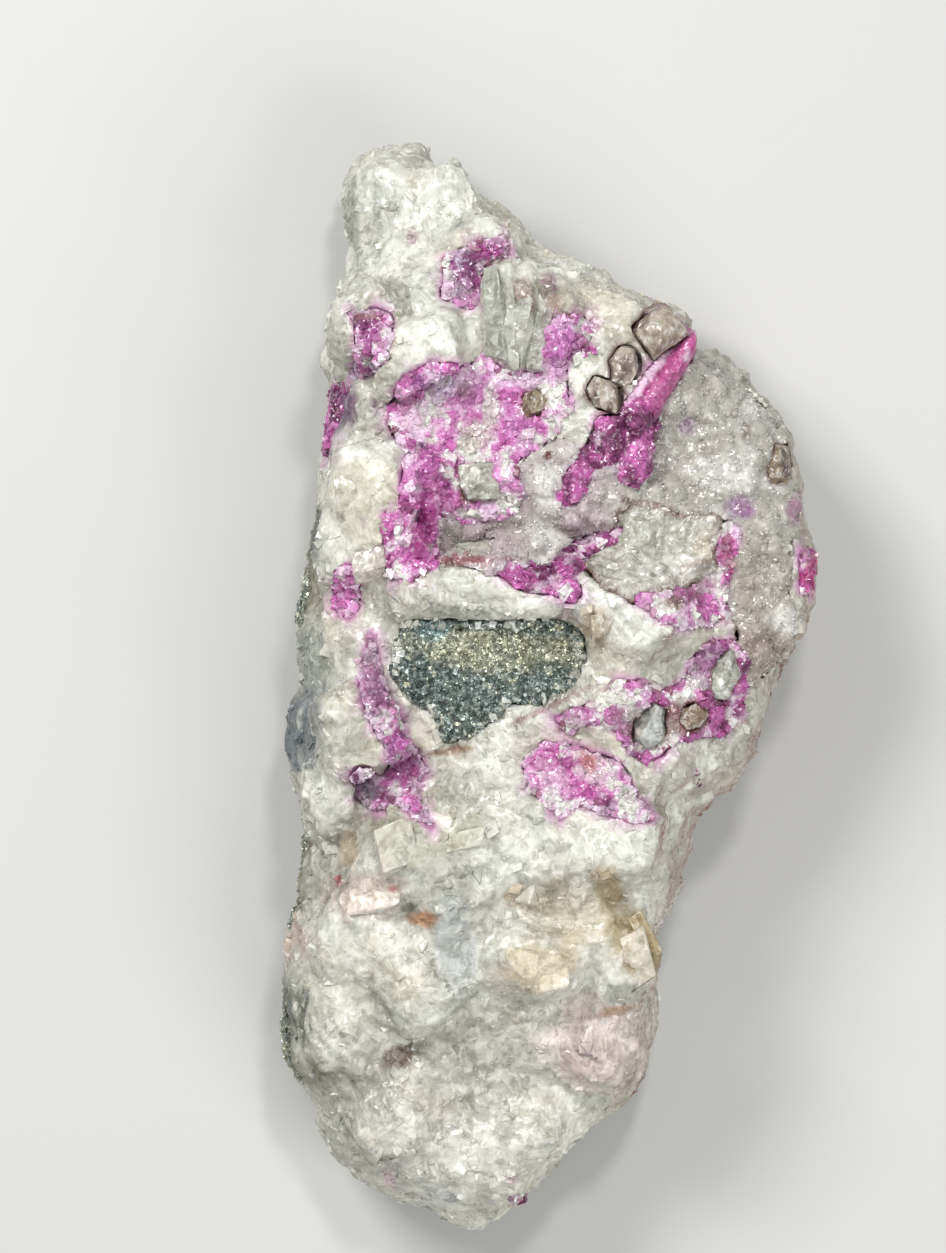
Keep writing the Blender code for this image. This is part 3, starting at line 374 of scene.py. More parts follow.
SIDE_RUST = linear("#93654b")
ORE_TEAL = linear("#7f8883")
UNDER_GREY = linear("#a09d92")


def broad_faces(points, seed):
    """1 on the broad smooth faces of single crystals, 0 on granular rock."""
    found = np.zeros(len(points))
    for place, half, turn in BROAD_FACES:
        found = np.maximum(found, zone(points, place, half, turn, seed))
    return found


def calcite_tones(points, ways_out, shade):
    """The calcite's colour at each point: white, grey and cream, its stains, what its neighbours give, and
    painted shade in the gaps round the socket crystals.
    """
    cloud = soft_noise(points, 6.0, 31) + 0.6 * soft_noise(points, 2.2, 32)
    tones = towards(all_one(CALCITE_WHITE, points), CALCITE_GREY, 0.5 + 0.9 * cloud)
    tones = towards(tones, CALCITE_CREAM, 0.7 * soft_noise(points, 4.0, 33))
    grain = LIFT[grain_of(points, 1.8, 34)]
    tones = towards(tones, CALCITE_CLEAR, (grain - 0.72) * 2.4)
    high = np.clip((points[:, 2] - STAIN_FOOT) / 5.0 + 0.7 * soft_noise(points, 3.0, 28), 0, 1)
    high *= np.clip(ways_out[:, 2] / 0.4 + 0.15 + 0.3 * soft_noise(points, 2.0, 27), 0, 1)
    tones = stained(tones, points, CALCITE_STAINS, 40, high)
    steep = np.clip((0.72 - ways_out[:, 2]) / 0.3, 0, 1)
    steep *= np.clip((points[:, 2] - STAIN_FOOT) / 6.0 + 0.8 * cloud, 0, 1)
    left = steep * np.clip(-ways_out[:, 0] / 0.3, 0, 1) * (points[:, 0] < -8)
    for place, half, code, strength in LEFT_SIDE_STAINS:
        reach = np.hypot((points[:, 1] - place) / half, (points[:, 2] - SIDE_MIDDLE) / SIDE_HALF)
        reach += 0.4 * soft_noise(points, 2.8, 36) + 0.2 * soft_noise(points, 1.1, 29)
        tones = towards(tones, linear(code), left * np.clip((1.1 - reach) / 0.4, 0, 1) * strength)
    right = steep * np.clip(ways_out[:, 0] / 0.4, 0, 1)
    right *= np.clip((points[:, 0] - 7) / 6.0 + 0.6 * cloud, 0, 1)
    tones = towards(tones, SIDE_BROWN, right * (0.45 + 0.5 * soft_noise(points, 2.4, 37)))
    brink = right * np.clip((0.5 - ways_out[:, 2]) / 0.4, 0, 1)
    brink *= np.clip((14 - points[:, 1]) / 8.0 + cloud, 0, 1)
    tones = towards(tones, SIDE_RUST, brink * (0.45 + 0.6 * soft_noise(points, 2.6, 30)))
    tones = towards(tones, UNDER_GREY, np.clip((5 - points[:, 2]) / 4, 0, 1) * (0.5 + 0.4 * cloud))
    ore_reach = 0.9 + 0.6 * np.clip(cloud, -0.8, 1)
    tones = towards(tones, ORE_TEAL, (1 - far_from(ore_tree, points, 2.0) / ore_reach) * 0.45)
    stain_reach = 1.2 + 1.6 * np.clip(soft_noise(points, 1.4, 35), -0.6, 1)
    stain = 1.0 - far_from(cobalt_tree, points, 3.6) / stain_reach
    tones = towards(tones, PINK_STAIN, np.clip(stain, 0, 1) ** 1.3 * 0.9)
    tones = towards(tones, PINK_DEEP, (stain - 0.55) * 1.6)
    tones = towards(tones, CONTACT_BROWN, (stain - 0.75) * 3 * (soft_noise(points, 1.8, 38) > 0.1))
    # Brown rims of the calcite round the socket crystals, and nearest them painted shade for the dark gaps of
    # their sockets
    rim = 1.0 - far_from(socket_tree, points, 1.5) / (0.9 + 0.4 * soft_noise(points, 1.2, 39))
    tones = towards(tones, CONTACT_BROWN, rim * 1.2)
    tones = towards(tones, SOCKET_GAP_PAINTED_SHADE, (rim - 0.6) * 1.8)
    return tones * shade[:, None]


def tree_of(names):
    """A search tree on these CAD solids' faces, in millimetres."""
    points, faces, start = [], [], 0
    for name in names:
        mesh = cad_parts[name].data
        points.append(points_of(mesh) / MM)
        faces.append(triangles_of(mesh) + start)
        start += len(points[-1])
    return BVHTree.FromPolygons(np.concatenate(points).tolist(), np.concatenate(faces).tolist())


def far_from(tree, points, reach):
    """Distance from each point to the tree's faces, at most reach."""
    found = (tree.find_nearest(Vector(point), reach)[3] for point in points)
    return np.array([reach if distance is None else distance for distance in found])


NODES = sorted(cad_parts)
COBALT_NODES = [name for name in NODES if name.startswith("cobalt_")]
SULPHIDE_NODES = [name for name in NODES if name.startswith("sulphide_")]
all_tree = tree_of(NODES)
matrix_tree = tree_of(["calcite_matrix"])
crust_tree = tree_of([name for name in NODES if name != "calcite_matrix"])
cobalt_tree = tree_of(COBALT_NODES)
ore_tree = tree_of(SULPHIDE_NODES)
socket_tree = tree_of([name for name in NODES if "crystal" in name])


def add(tree, kind, settings=None, links=None):
    """Adds a shader node, sets its properties and sockets, and links other nodes' outputs to its inputs."""
    node = tree.nodes.new(kind)
    for key, value in (settings or {}).items():
        if isinstance(key, int) or key in node.inputs:
            node.inputs[key].default_value = value
        else:
            setattr(node, key, value)
    for key, output in (links or {}).items():
        tree.links.new(output, node.inputs[key])
    return node


def material_tree(name):
    """A new material's tree, with the object's coordinates in millimetres and its colour at each point."""
    material = bpy.data.materials.new(name)
    material.use_nodes = True
    tree = material.node_tree
    tree.nodes.clear()
    place = add(tree, "ShaderNodeTexCoord").outputs["Object"]
    metric = add(tree, "ShaderNodeVectorMath", {"operation": "SCALE", "Scale": 1 / MM}, {0: place}).outputs[0]
    tone = add(tree, "ShaderNodeAttribute", {"attribute_name": "tone"}).outputs["Color"]
    return material, tree, metric, tone


def finish_material(tree, surface):
    output = add(tree, "ShaderNodeOutputMaterial")
    tree.links.new(surface.outputs[0], output.inputs["Surface"])


def facets(tree, metric, large, small, tilt):
    """A normal that leans a little differently in each crystal grain, at two sizes in millimetres."""
    normal = add(tree, "ShaderNodeNewGeometry").outputs["Normal"]
    for size, share in ((large, tilt), (small, tilt * 0.9)):
        grain = add(tree, "ShaderNodeTexVoronoi", {"Scale": 1 / size}, {"Vector": metric}).outputs["Color"]
        settings = {"operation": "MULTIPLY_ADD", 1: (share,) * 3, 2: (-share / 2,) * 3}
        lean = add(tree, "ShaderNodeVectorMath", settings, {0: grain}).outputs[0]
        normal = add(tree, "ShaderNodeVectorMath", {"operation": "ADD"}, {0: normal, 1: lean}).outputs[0]
    return add(tree, "ShaderNodeVectorMath", {"operation": "NORMALIZE"}, {0: normal}).outputs[0]


def ramp(tree, value, low, high, to_low=0.0, to_high=1.0):
    """A value carried from one range to another, and held there."""
    settings = {"From Min": low, "From Max": high, "To Min": to_low, "To Max": to_high}
    return add(tree, "ShaderNodeMapRange", settings, {"Value": value}).outputs["Result"]


def blended(tree, share, first, second):
    """A colour between two, each a constant or a link."""
    node = add(tree, "ShaderNodeMix", {"data_type": "RGBA", "clamp_factor": True})
    for socket, value in zip(("Factor", "A", "B"), (share, first, second)):
        kind = "VALUE" if socket == "Factor" else "RGBA"
        place = next(i for i in node.inputs if i.name == socket and i.type == kind)
        if isinstance(value, bpy.types.NodeSocket):
            tree.links.new(value, place)
        else:
            place.default_value = value if socket == "Factor" else (*value, 1)
    return next(o for o in node.outputs if o.type == "RGBA")


def scaled(tree, colour, factors):
    return add(tree, "ShaderNodeVectorMath", {"operation": "MULTIPLY", 1: factors}, {0: colour}).outputs[0]


def fibres(tree, metric, which):
    """Streaks along the cleavage, about 0.3 by 2 mm, turned alike within each grain."""
    turn = add(tree, "ShaderNodeMath", {"operation": "MULTIPLY", 1: 2 * math.pi}, {0: which}).outputs[0]
    turned = add(tree, "ShaderNodeVectorRotate", {"rotation_type": "Z_AXIS"},
                 {"Vector": metric, "Angle": turn}).outputs[0]
    drawn_out = scaled(tree, turned, (2.6, 0.55, 1.2))
    return add(tree, "ShaderNodeTexNoise", {"Scale": 1.0, "Detail": 5.0, "Roughness": 0.6, "Distortion": 0.3},
               {"Vector": drawn_out}).outputs["Fac"]


def interlocked(tree, metric, drift, shift, edge_scale, grain_scale):
    """Crystals grown into each other, with wavy borders: how near the border is, and which crystal it is."""
    wave = add(tree, "ShaderNodeTexNoise", drift, {"Vector": metric}).outputs["Color"]
    warped = add(tree, "ShaderNodeVectorMath", {"operation": "MULTIPLY_ADD", 1: (shift,) * 3},
                 {0: wave, 2: metric}).outputs[0]
    border = add(tree, "ShaderNodeTexVoronoi", {"feature": "DISTANCE_TO_EDGE", "Scale": edge_scale},
                 {"Vector": warped}).outputs["Distance"]
    grain = add(tree, "ShaderNodeTexVoronoi", {"Scale": grain_scale}, {"Vector": warped}).outputs["Color"]
    return border, add(tree, "ShaderNodeSeparateColor", None, {"Color": grain}).outputs["Red"]


def broken_calcite():
    """Calcite, broken along cleavage: interlocked grains of 1 to 3 mm, some clear and some milky, with white
    veils along their edges, small white specks painted on as glints (painted highlights), and a facet for
    each grain."""
    material, tree, metric, tone = material_tree("broken_calcite")
    border, which = interlocked(tree, metric, {"Scale": 0.55, "Detail": 4.0}, 2.2, 0.5, 0.5)
    cloud = add(tree, "ShaderNodeTexNoise", {"Scale": 1.1, "Detail": 8.0, "Roughness": 0.68},
                {"Vector": metric}).outputs["Fac"]
    painted_glint_speck = add(tree, "ShaderNodeTexNoise", {"Scale": 3.4, "Detail": 4.0, "Roughness": 0.75},
                {"Vector": metric}).outputs["Fac"]
    clear = add(tree, "ShaderNodeMath", {"operation": "ADD"}, {
        0: ramp(tree, cloud, 0.56, 0.4, -0.1, 0.5), 1: ramp(tree, which, 0.3, 0.9, 0.0, 0.6),
    }).outputs[0]
    milky, glassy = scaled(tree, tone, (1.09, 1.09, 1.08)), scaled(tree, tone, (0.7, 0.69, 0.64))
    colour = blended(tree, clear, milky, glassy)
    veil = add(tree, "ShaderNodeMath", {"operation": "MULTIPLY"}, {
        0: ramp(tree, border, 0.06, 0.0, 0.0, 0.5), 1: ramp(tree, cloud, 0.5, 0.64),
    }).outputs[0]
    colour = blended(tree, veil, colour, linear("#eff0ea"))
    streak = ramp(tree, fibres(tree, metric, which), 0.5, 0.68, 0.0, 0.85)
    colour = blended(tree, streak, colour, scaled(tree, tone, (1.32, 1.33, 1.34)))
    # Small near-white specks painted into the colour as glints: painted highlights
    colour = blended(tree, ramp(tree, painted_glint_speck, 0.6, 0.7, 0.0, 0.3), colour, linear("#f4f4ee"))
    surface = add(tree, "ShaderNodeBsdfPrincipled", {
        "IOR": 1.6, "Subsurface Weight": 0.3, "Subsurface Radius": (1.0, 0.95, 0.85),
        "Subsurface Scale": 0.8 * MM,
    }, {"Base Color": colour, "Roughness": ramp(tree, cloud, 0.4, 0.6, 0.22, 0.5),
        "Normal": facets(tree, metric, 1.9, 0.7, 0.26)})
    finish_material(tree, surface)
    return material


calcite_material = broken_calcite()
matrix = fine_skin("calcite_mass", "calcite_matrix", MASS_VOXEL, MASS_GROWTH)
skin_points = points_of(matrix.data)
free = np.clip((far_from(crust_tree, skin_points, 4.0) - 0.8) / 2.5, 0, 1)
free *= 0.35 + 0.65 * np.clip((-4 - skin_points[:, 1]) / 8, 0, 1)
set_points(matrix.data, evened(matrix.data, skin_points, WORN_ROUNDS, free))
skin_points = points_of(matrix.data)
beside = np.clip((far_from(crust_tree, skin_points, 2.0) - 0.2) / 1.2, 0, 1)
broad = broad_faces(skin_points, 9)
rise = 0.38 * cleavage_steps(skin_points, 2.6, 7.0, 3) + 0.25 * cleavage_steps(skin_points, 1.2, 4.0, 5)
rise += 0.12 * soft_noise(skin_points, 0.8, 7)
rise = rise * (1 - broad) + 0.34 * cleavage_steps(skin_points, 4.2, 12.0, 8) * broad
rise = np.where(rise > 0, np.minimum(rise, 0.6) * beside, np.maximum(rise, -0.8))
moat = np.clip(1 - far_from(socket_tree, skin_points, 1.6) / 1.0, 0, 1)
displaced(matrix, rise - moat * 0.3)
matrix_points, matrix_faces = points_of(matrix.data), triangles_of(matrix.data)
matrix_tones = calcite_tones(matrix_points, normals_of(matrix.data), np.full(len(matrix_points), 0.88))
settle(matrix, ["calcite_matrix"], matrix_tones, calcite_material)

# Calcite chips and grains
# Small cleavage rhombs that stand a little out of the mass, each turned its own way, with broken corners.
# They are part of the same rock, and carry its stains.

GRAIN_DENSITY = 0.6
GRAIN_SIZES = (0.3, 1.15)


def shape_of(bm):
    """The points and triangles of a small shape that is repeated."""
    bmesh.ops.recalc_face_normals(bm, faces=bm.faces)
    bmesh.ops.triangulate(bm, faces=bm.faces)
    bm.verts.index_update()
    points = np.array([vert.co for vert in bm.verts])
    faces = np.array([[vert.index for vert in face.verts] for face in bm.faces])
    bm.free()
    return points, faces


def chip_off(bm, corner, share):
    """Cuts a corner off and closes the cut."""
    geom = bm.verts[:] + bm.edges[:] + bm.faces[:]
    cut = bmesh.ops.bisect_plane(bm, geom=geom, plane_co=corner * share, plane_no=corner, clear_outer=True)
    rim = [edge for edge in cut["geom_cut"] if isinstance(edge, bmesh.types.BMEdge)]
    bmesh.ops.contextual_create(bm, geom=rim)


def broken_rhomb(draws, chips, slants=(0.25, 0.15, 0.22), nearest=0.3, depths=(0.55, 0.85)):
    """A calcite rhomb, sheared from a cube, with some of its corners and edges broken off at odd angles."""
    bm = bmesh.new()
    bmesh.ops.create_cube(bm, size=1.0)
    shear = Matrix(((1, *slants[:2], 0), (0, 1, slants[2], 0), (0, 0, 1, 0), (0, 0, 0, 1)))
    bmesh.ops.transform(bm, matrix=shear, verts=bm.verts)
    for corner in draws.choice([-0.5, 0.5], size=(chips, 3)) * draws.uniform(nearest, 1.1, size=(chips, 3)):
        chip_off(bm, Vector(corner), draws.uniform(*depths))
    return bm


SHARD_DRAWS = np.random.default_rng(19)
SHARDS = [shape_of(broken_rhomb(SHARD_DRAWS, 3 + i % 3)) for i in range(10)]
RHOMBS = [shape_of(broken_rhomb(SHARD_DRAWS, i % 3)) for i in range(6)]


def strewn(points, faces, density, draws):
    """Places spread evenly over a skin, with the way out at each."""
    a, b, c = (points[faces[:, i]] for i in range(3))
    cross = np.cross(b - a, c - a)
    area = np.linalg.norm(cross, axis=1) / 2
    rows = draws.choice(len(area), int(area.sum() * density), p=area / area.sum())
    u, v = draws.random(len(rows)), draws.random(len(rows))
    flip = u + v > 1
    u[flip], v[flip] = 1 - u[flip], 1 - v[flip]
    places = a[rows] + (b - a)[rows] * u[:, None] + (c - a)[rows] * v[:, None]
    return places, cross[rows] / (2 * area[rows, None])


def standing(ways_out, lean, draws):
    """Turns that stand each crystal on the skin, off the way out by a lean and turned about it at random."""
    axis = ways_out + lean * draws.normal(size=ways_out.shape)
    axis /= np.linalg.norm(axis, axis=1)[:, None]
    side = np.cross(axis, draws.normal(size=axis.shape))
    side /= np.linalg.norm(side, axis=1)[:, None]
    return np.stack((side, np.cross(axis, side), axis), axis=2)


def open_to_air(places, ways_out):
    """Which places lie on the outside of the whole rock, not in a bed or under a crust."""
    kept = []
    for place, way in zip(places, ways_out):
        start, way = Vector(place + way * 0.45), Vector(way)
        hit, normal, _, distance = all_tree.ray_cast(start, way)
        kept.append(hit is None or (normal.dot(way) < 0 and distance > 0.4))
    return np.array(kept)


def joined_crystals(name, shapes, places, turns, sizes, tones):
    """One mesh of many small crystals, and their colours: each a turned, sized copy of one of the shapes."""
    points, faces, colours, start = [], [], [], 0
    for k, (shape_points, shape_faces) in enumerate(shapes):
        rows = np.arange(k, len(places), len(shapes))
        local = shape_points[None] * sizes[rows, None]
        placed = np.einsum("nij,nvj->nvi", turns[rows], local) + places[rows, None]
        offsets = start + np.arange(len(rows)) * len(shape_points)
        points.append(placed.reshape(-1, 3))
        faces.append((shape_faces[None] + offsets[:, None, None]).reshape(-1, 3))
        colours.append(np.repeat(tones[rows], len(shape_points), axis=0))
        start += len(rows) * len(shape_points)
    mesh = bpy.data.meshes.new(name)
    mesh.from_pydata(np.concatenate(points), [], np.concatenate(faces))
    return in_scene(name, mesh), np.concatenate(colours)


draws = np.random.default_rng(21)
places, ways_out = strewn(matrix_points, matrix_faces, GRAIN_DENSITY, draws)
kept = open_to_air(places, ways_out) & (places[:, 2] > 0.8) & (far_from(socket_tree, places, 2.0) > 1.4)
kept &= draws.random(len(places)) > 0.8 * broad_faces(places, 9)
places, ways_out = places[kept], ways_out[kept]
edge = np.clip(0.62 * np.exp(draws.normal(size=len(places)) * 0.4), *GRAIN_SIZES)
edge = np.where(ways_out[:, 2] < 0.6, np.minimum(edge, 0.75), edge)
sizes = edge[:, None] * (0.6 + 0.8 * draws.random((len(places), 3)))
turns = standing(ways_out, 0.22, draws)
places = places - ways_out * (sizes[:, 2] * 0.4)[:, None]
tones = calcite_tones(places, ways_out, 0.83 + 0.2 * draws.random(len(places)))
bands = np.digitize(places[:, 1], (-22.0, 10.0))
for band, title in enumerate(("lower", "middle", "upper")):
    rows = bands == band
    chips, chip_tones = joined_crystals(f"calcite_chips_{title}", SHARDS, places[rows], turns[rows],
                                        sizes[rows], tones[rows])
    settle(chips, [], chip_tones, calcite_material, sharp=None)


def grains_over_edge(skin, reach, density, draws):
    """Places on a crust's skin close to the calcite, where grains of the mass lie over the crust's edge."""
    places, ways_out = strewn(points_of(skin.data), triangles_of(skin.data), density, draws)
    kept = far_from(matrix_tree, places, 2.0) < reach * (0.4 + 1.2 * draws.random(len(places)))
    kept &= (ways_out[:, 2] > 0.2) & (places[:, 2] > 5) & (far_from(socket_tree, places, 2.0) > 1.0)
    kept &= open_to_air(places, ways_out)
    return places[kept], ways_out[kept]


# Filled as the crusts are made, and made a piece of their own when all of them are there
over_edges = []
edge_draws = np.random.default_rng(33)

# Magenta cobaltoan calcite
# Blades, crusts and veins of calcite coloured by cobalt: glassy, from pale pink to deep plum, made of rhombs
# under a millimetre across, with white calcite grains among them. They line seams and hollows of the mass.

COBALT_PLUM = linear("#6b2f56")
COBALT_DEEP = linear("#9a4a80")
COBALT_MAGENTA = linear("#be61a2")
COBALT_BRIGHT = linear("#d389c0")
COBALT_PALE = linear("#ead0e2")
BLADE_ROSE = linear("#c05a94")
FEATHER_WHITE = linear("#dcc9d6")
CRUST_VOXEL = 0.3
CRUST_GROWTH = 0.34
# Rhombs per square millimetre
BLADE_RHOMBS = 2.0
CRUST_RHOMBS = 4.0
SPOT_RHOMBS = 5.0
# How much white calcite shows in each: most crusts are mixed, the blades are nearly pure
WHITE_SHARE = {
    "cobalt_blade_and_fan": -0.5, "cobalt_blade_left": -0.3, "cobalt_crust_left_edge": -0.3,
    "cobalt_crust_network": 0.02, "cobalt_crust_lower": 0.1, "cobalt_crust_right_loops": 0.0,
    "cobalt_crust_middle_right": 0.15, "cobalt_vein_diagonal": -0.2, "cobalt_crust_upper_patch": 0.1,
    "cobalt_crust_top_patch": 0.0, "cobalt_vein_lower_left": 0.0,
}
# Parts of the crusts that are nearly one colour: name, colour, centre, half size, turn in degrees, strength
COBALT_STAINS = [
    ("bright right arm of the network", "#c07ab4", (1.4, 34.0), (1.8, 3.2), 0, 0.7),
    ("bright top of the network", "#c58cba", (-9.0, 29.9), (4.4, 2.0), -6, 0.55),
    ("bright right border", "#c27bb3", (-2.4, 25.0), (1.5, 3.4), 24, 0.7),
    ("pink band under the prisms", "#cf9cc6", (-1.2, 30.8), (3.2, 0.9), 8, 0.6),
    ("grey-white grains", "#cbcabd", (-6.9, 25.2), (1.9, 1.6), 0, 0.8),
    ("standing grey-white grains", "#d6d6cb", (-5.4, 28.0), (0.9, 2.6), 0, 0.8),
    ("white grain at the left", "#d2cfc8", (-12.6, 26.8), (1.0, 1.4), 0, 0.6),
    ("lilac crinkled crystal", "#cfc0d4", (-10.3, 29.8), (1.3, 1.3), 0, 0.8),
    ("purple beside it", "#864a83", (-12.2, 30.4), (0.9, 0.8), 0, 0.7),
    ("pink-brown grain", "#93647c", (-8.0, 29.6), (0.9, 0.9), 0, 0.8),
    ("pale left border of the network", "#dfb6cf", (-13.4, 27.4), (1.0, 2.4), 0, 0.5),
    ("upper blade", "#ad5d9d", (-11.4, 21.0), (1.6, 2.2), 0, 0.5),
    ("dark slender blade", "#9a3079", (-11.9, 16.4), (1.1, 4.0), -14, 0.9),
    ("plum upper patch", "#74406b", (-8.0, 40.8), (1.7, 2.8), 0, 0.75),
    ("calcite over the patch", "#d0cfc6", (-5.6, 45.3), (3.0, 0.7), 0, 0.8),
    ("calcite between the patches", "#c9c3be", (-5.6, 42.0), (1.0, 0.9), 0, 0.6),
    ("white glint in the plum patch", "#dcd3e0", (-8.5, 42.4), (0.5, 0.8), 0, 0.8),
    ("bright end of the patch", "#b0589a", (-4.9, 43.8), (1.6, 0.9), 18, 0.8),
    ("rusty top of the left patch", "#8f5c56", (-17.4, 36.9), (1.5, 0.5), 0, 0.7),
    ("purple heart of the left patch", "#8d4c80", (-17.2, 35.2), (1.3, 1.2), 0, 0.6),
    ("muted upper vein", "#86607a", (-16.6, 1.0), (1.4, 4.4), 8, 0.8),
    ("plum lower vein", "#7b4474", (-14.4, -6.2), (1.8, 2.6), 20, 0.6),
    ("plum foot of the vein", "#6a3a63", (-17.6, -9.6), (1.3, 1.6), 0, 0.7),
    ("peach centre of the lower crust", "#b57f52", (4.2, -6.6), (1.0, 1.2), 0, 0.85),
    ("magenta ring round it", "#b34f8f", (4.6, -7.4), (2.2, 2.2), 0, 0.4),
    ("pale middle of the lower crust", "#dcbfd0", (1.0, -9.0), (1.8, 1.4), 0, 0.6),
    ("brown in the right loops", "#7d5c52", (13.8, -2.6), (2.6, 1.7), 10, 0.75),
    ("grey-brown in the right loops", "#8f7f7c", (8.2, -3.4), (2.8, 2.2), 0, 0.55),
    ("purple ring of the loops", "#8e5585", (16.2, 2.4), (2.4, 2.8), -20, 0.6),
    ("pink left end of the loops", "#a56790", (3.6, -2.4), (2.2, 1.0), 10, 0.5),
    ("red border of the window", "#9a4769", (18.2, 13.6), (0.8, 2.6), 0, 0.7),
    ("brown grain by the window", "#8d7262", (12.8, 8.8), (1.4, 0.8), 0, 0.8),
    ("banded oval", "#b594a0", (15.6, 10.4), (2.0, 1.2), 8, 0.6),
    ("white grains under the window", "#dedbd4", (11.6, 11.0), (3.6, 1.2), 8, 0.85),
    ("crimson rim", "#a2356c", (26.8, 11.6), (1.5, 2.6), 0, 0.85),
]
# Specks of it on the mass itself: centre, half size, turn in degrees
MAGENTA_SPOTS = [
    ((-20.7, 29.2), (1.5, 1.7), -20), ((-12.4, -53.2), (1.2, 0.6), -20), ((-2.6, -50.8), (0.9, 0.5), 10),
    ((-3.2, -48.4), (0.4, 0.5), 0), ((-1.6, 29.8), (2.6, 0.7), 8), ((2.6, 33.6), (2.4, 0.7), -6),
    ((15.2, -8.6), (0.3, 1.2), 0),
]
# Crusts that are paler along their edges, where they thin out over the calcite
FEATHERED = (
    "cobalt_crust_lower", "cobalt_crust_top_patch", "cobalt_crust_upper_patch", "cobalt_crust_middle_right",
    "cobalt_vein_lower_left",
)
# How much darker than the usual magenta each is, and the spots on the mass
DARKER = {
    "spot": 0.5, "cobalt_vein_diagonal": 0.8, "cobalt_blade_and_fan": 0.5, "cobalt_crust_left_edge": 0.6,
    "cobalt_crust_top_patch": 0.35, "cobalt_crust_upper_patch": 0.3, "cobalt_crust_right_rim": 0.6,
    "cobalt_crust_right_loops": 0.45, "cobalt_crust_network": -0.5, "cobalt_vein_lower_left": 0.35,
    "cobalt_blade_left": -0.3,
}


def on_blade(points):
    """1 on the smooth upper blade, 0 on the granular fan below it."""
    return np.clip((points[:, 1] + 0.9 * points[:, 0] - 36.5) / 2.0, 0, 1)


def smooth_blades(points):
    """1 on the two blades that the photograph shows whole, 0 on the granular growth about them."""
    upper = on_blade(points) * (points[:, 0] > 6)
    return np.maximum(upper, zone(points, (-11.9, 16.4), (1.0, 3.6), -14, 67))


def cobalt_tones(points, node, shade):
    """From pale pink to plum in clouds of about a millimetre, with white grains let in."""
    cloud = soft_noise(points, 1.9, 61) + 0.7 * soft_noise(points, 0.8, 62) - DARKER.get(node, 0.0)
    tones = towards(all_one(COBALT_MAGENTA, points), COBALT_BRIGHT, cloud * 1.3)
    tones = towards(tones, COBALT_PALE, (cloud - 0.55) * 2.0)
    tones = towards(tones, COBALT_DEEP, (-cloud - 0.1) * 1.8)
    tones = towards(tones, COBALT_PLUM, (-cloud - 0.55) * 2.0)
    white = 0.8 * soft_noise(points, 1.5, 63) + 0.5 * soft_noise(points, 0.7, 64) + WHITE_SHARE.get(node, 0.0)
    tones = towards(tones, COBALT_PALE, (white + 0.1) * 2.0)
    tones = towards(tones, CALCITE_WHITE, (white - 0.2) * 4.0)
    tones = stained(tones, points, COBALT_STAINS, 220)
    if node == "cobalt_blade_and_fan":
        tones = towards(tones, BLADE_ROSE, on_blade(points) * 0.8)
        tones = towards(tones, COBALT_PALE, (soft_noise(points, 1.1, 65) - 0.45) * 2 * on_blade(points))
        tones = towards(tones, COBALT_PALE, zone(points, (10.5, 31.6), (4.8, 0.6), 51, 66) * 0.9)
    if node in FEATHERED:
        border = 1.0 - far_from(matrix_tree, points, 2.0) / (0.7 + 0.4 * soft_noise(points, 0.9, 68))
        tones = towards(tones, FEATHER_WHITE, border * 1.1)
    brown = 1.0 - far_from(socket_tree, points, 1.5) / 0.75
    tones = towards(tones, CONTACT_BROWN, np.clip(brown, 0, 1) * 1.2)
    return tones * shade[:, None]


def glassy_cobalt_calcite():
    """Cobaltoan calcite: strong colour, glassy rhomb faces, light passing a short way into it."""
    material, tree, metric, tone = material_tree("glassy_cobalt_calcite")
    cloud = add(tree, "ShaderNodeTexNoise", {"Scale": 2.2, "Detail": 6.0, "Roughness": 0.7},
                {"Vector": metric}).outputs["Fac"]
    colour = blended(tree, ramp(tree, cloud, 0.36, 0.52), scaled(tree, tone, (0.66, 0.55, 0.64)), tone)
    colour = blended(tree, ramp(tree, cloud, 0.56, 0.72, 0.0, 0.6), colour, linear("#eccfe4"))
    surface = add(tree, "ShaderNodeBsdfPrincipled", {
        "IOR": 1.62, "Roughness": 0.24, "Subsurface Weight": 0.15, "Subsurface Radius": (1.0, 0.5, 0.85),
        "Subsurface Scale": 0.4 * MM,
    }, {"Base Color": colour, "Normal": facets(tree, metric, 0.8, 0.34, 0.55)})
    finish_material(tree, surface)
    return material


cobalt_material = glassy_cobalt_calcite()
draws = np.random.default_rng(23)
gathered = []
for node in COBALT_NODES:
    crust = fine_skin("magenta" + node[len("cobalt"):], node, CRUST_VOXEL, CRUST_GROWTH)
    points = points_of(crust.data)
    blade = "blade" in node
    steps = cleavage_steps(points, 2.2 if blade else 1.3, 5.0, 13)
    rough = 1 - 0.75 * smooth_blades(points)
    displaced(crust, np.clip(0.4 * steps + 0.12 * soft_noise(points, 0.6, 15), -0.5, 0.5) * rough)
    points, faces = points_of(crust.data), triangles_of(crust.data)
    places, ways_out = strewn(points, faces, BLADE_RHOMBS if blade else CRUST_RHOMBS, draws)
    kept = open_to_air(places, ways_out) & (far_from(socket_tree, places, 2.0) > 0.5)
    if blade:
        kept &= smooth_blades(places) < 0.5
    places, ways_out = places[kept], ways_out[kept]
    shades = 0.85 + 0.35 * draws.random(len(places))
    gathered.append((places, ways_out, cobalt_tones(places, node, shades)))
    if not blade and "vein" not in node:
        over_edges.append(grains_over_edge(crust, 0.45, 2.4, edge_draws))
    crust_tones = cobalt_tones(points, node, np.full(len(points), 0.9))
    settle(crust, [node], crust_tones, cobalt_material)
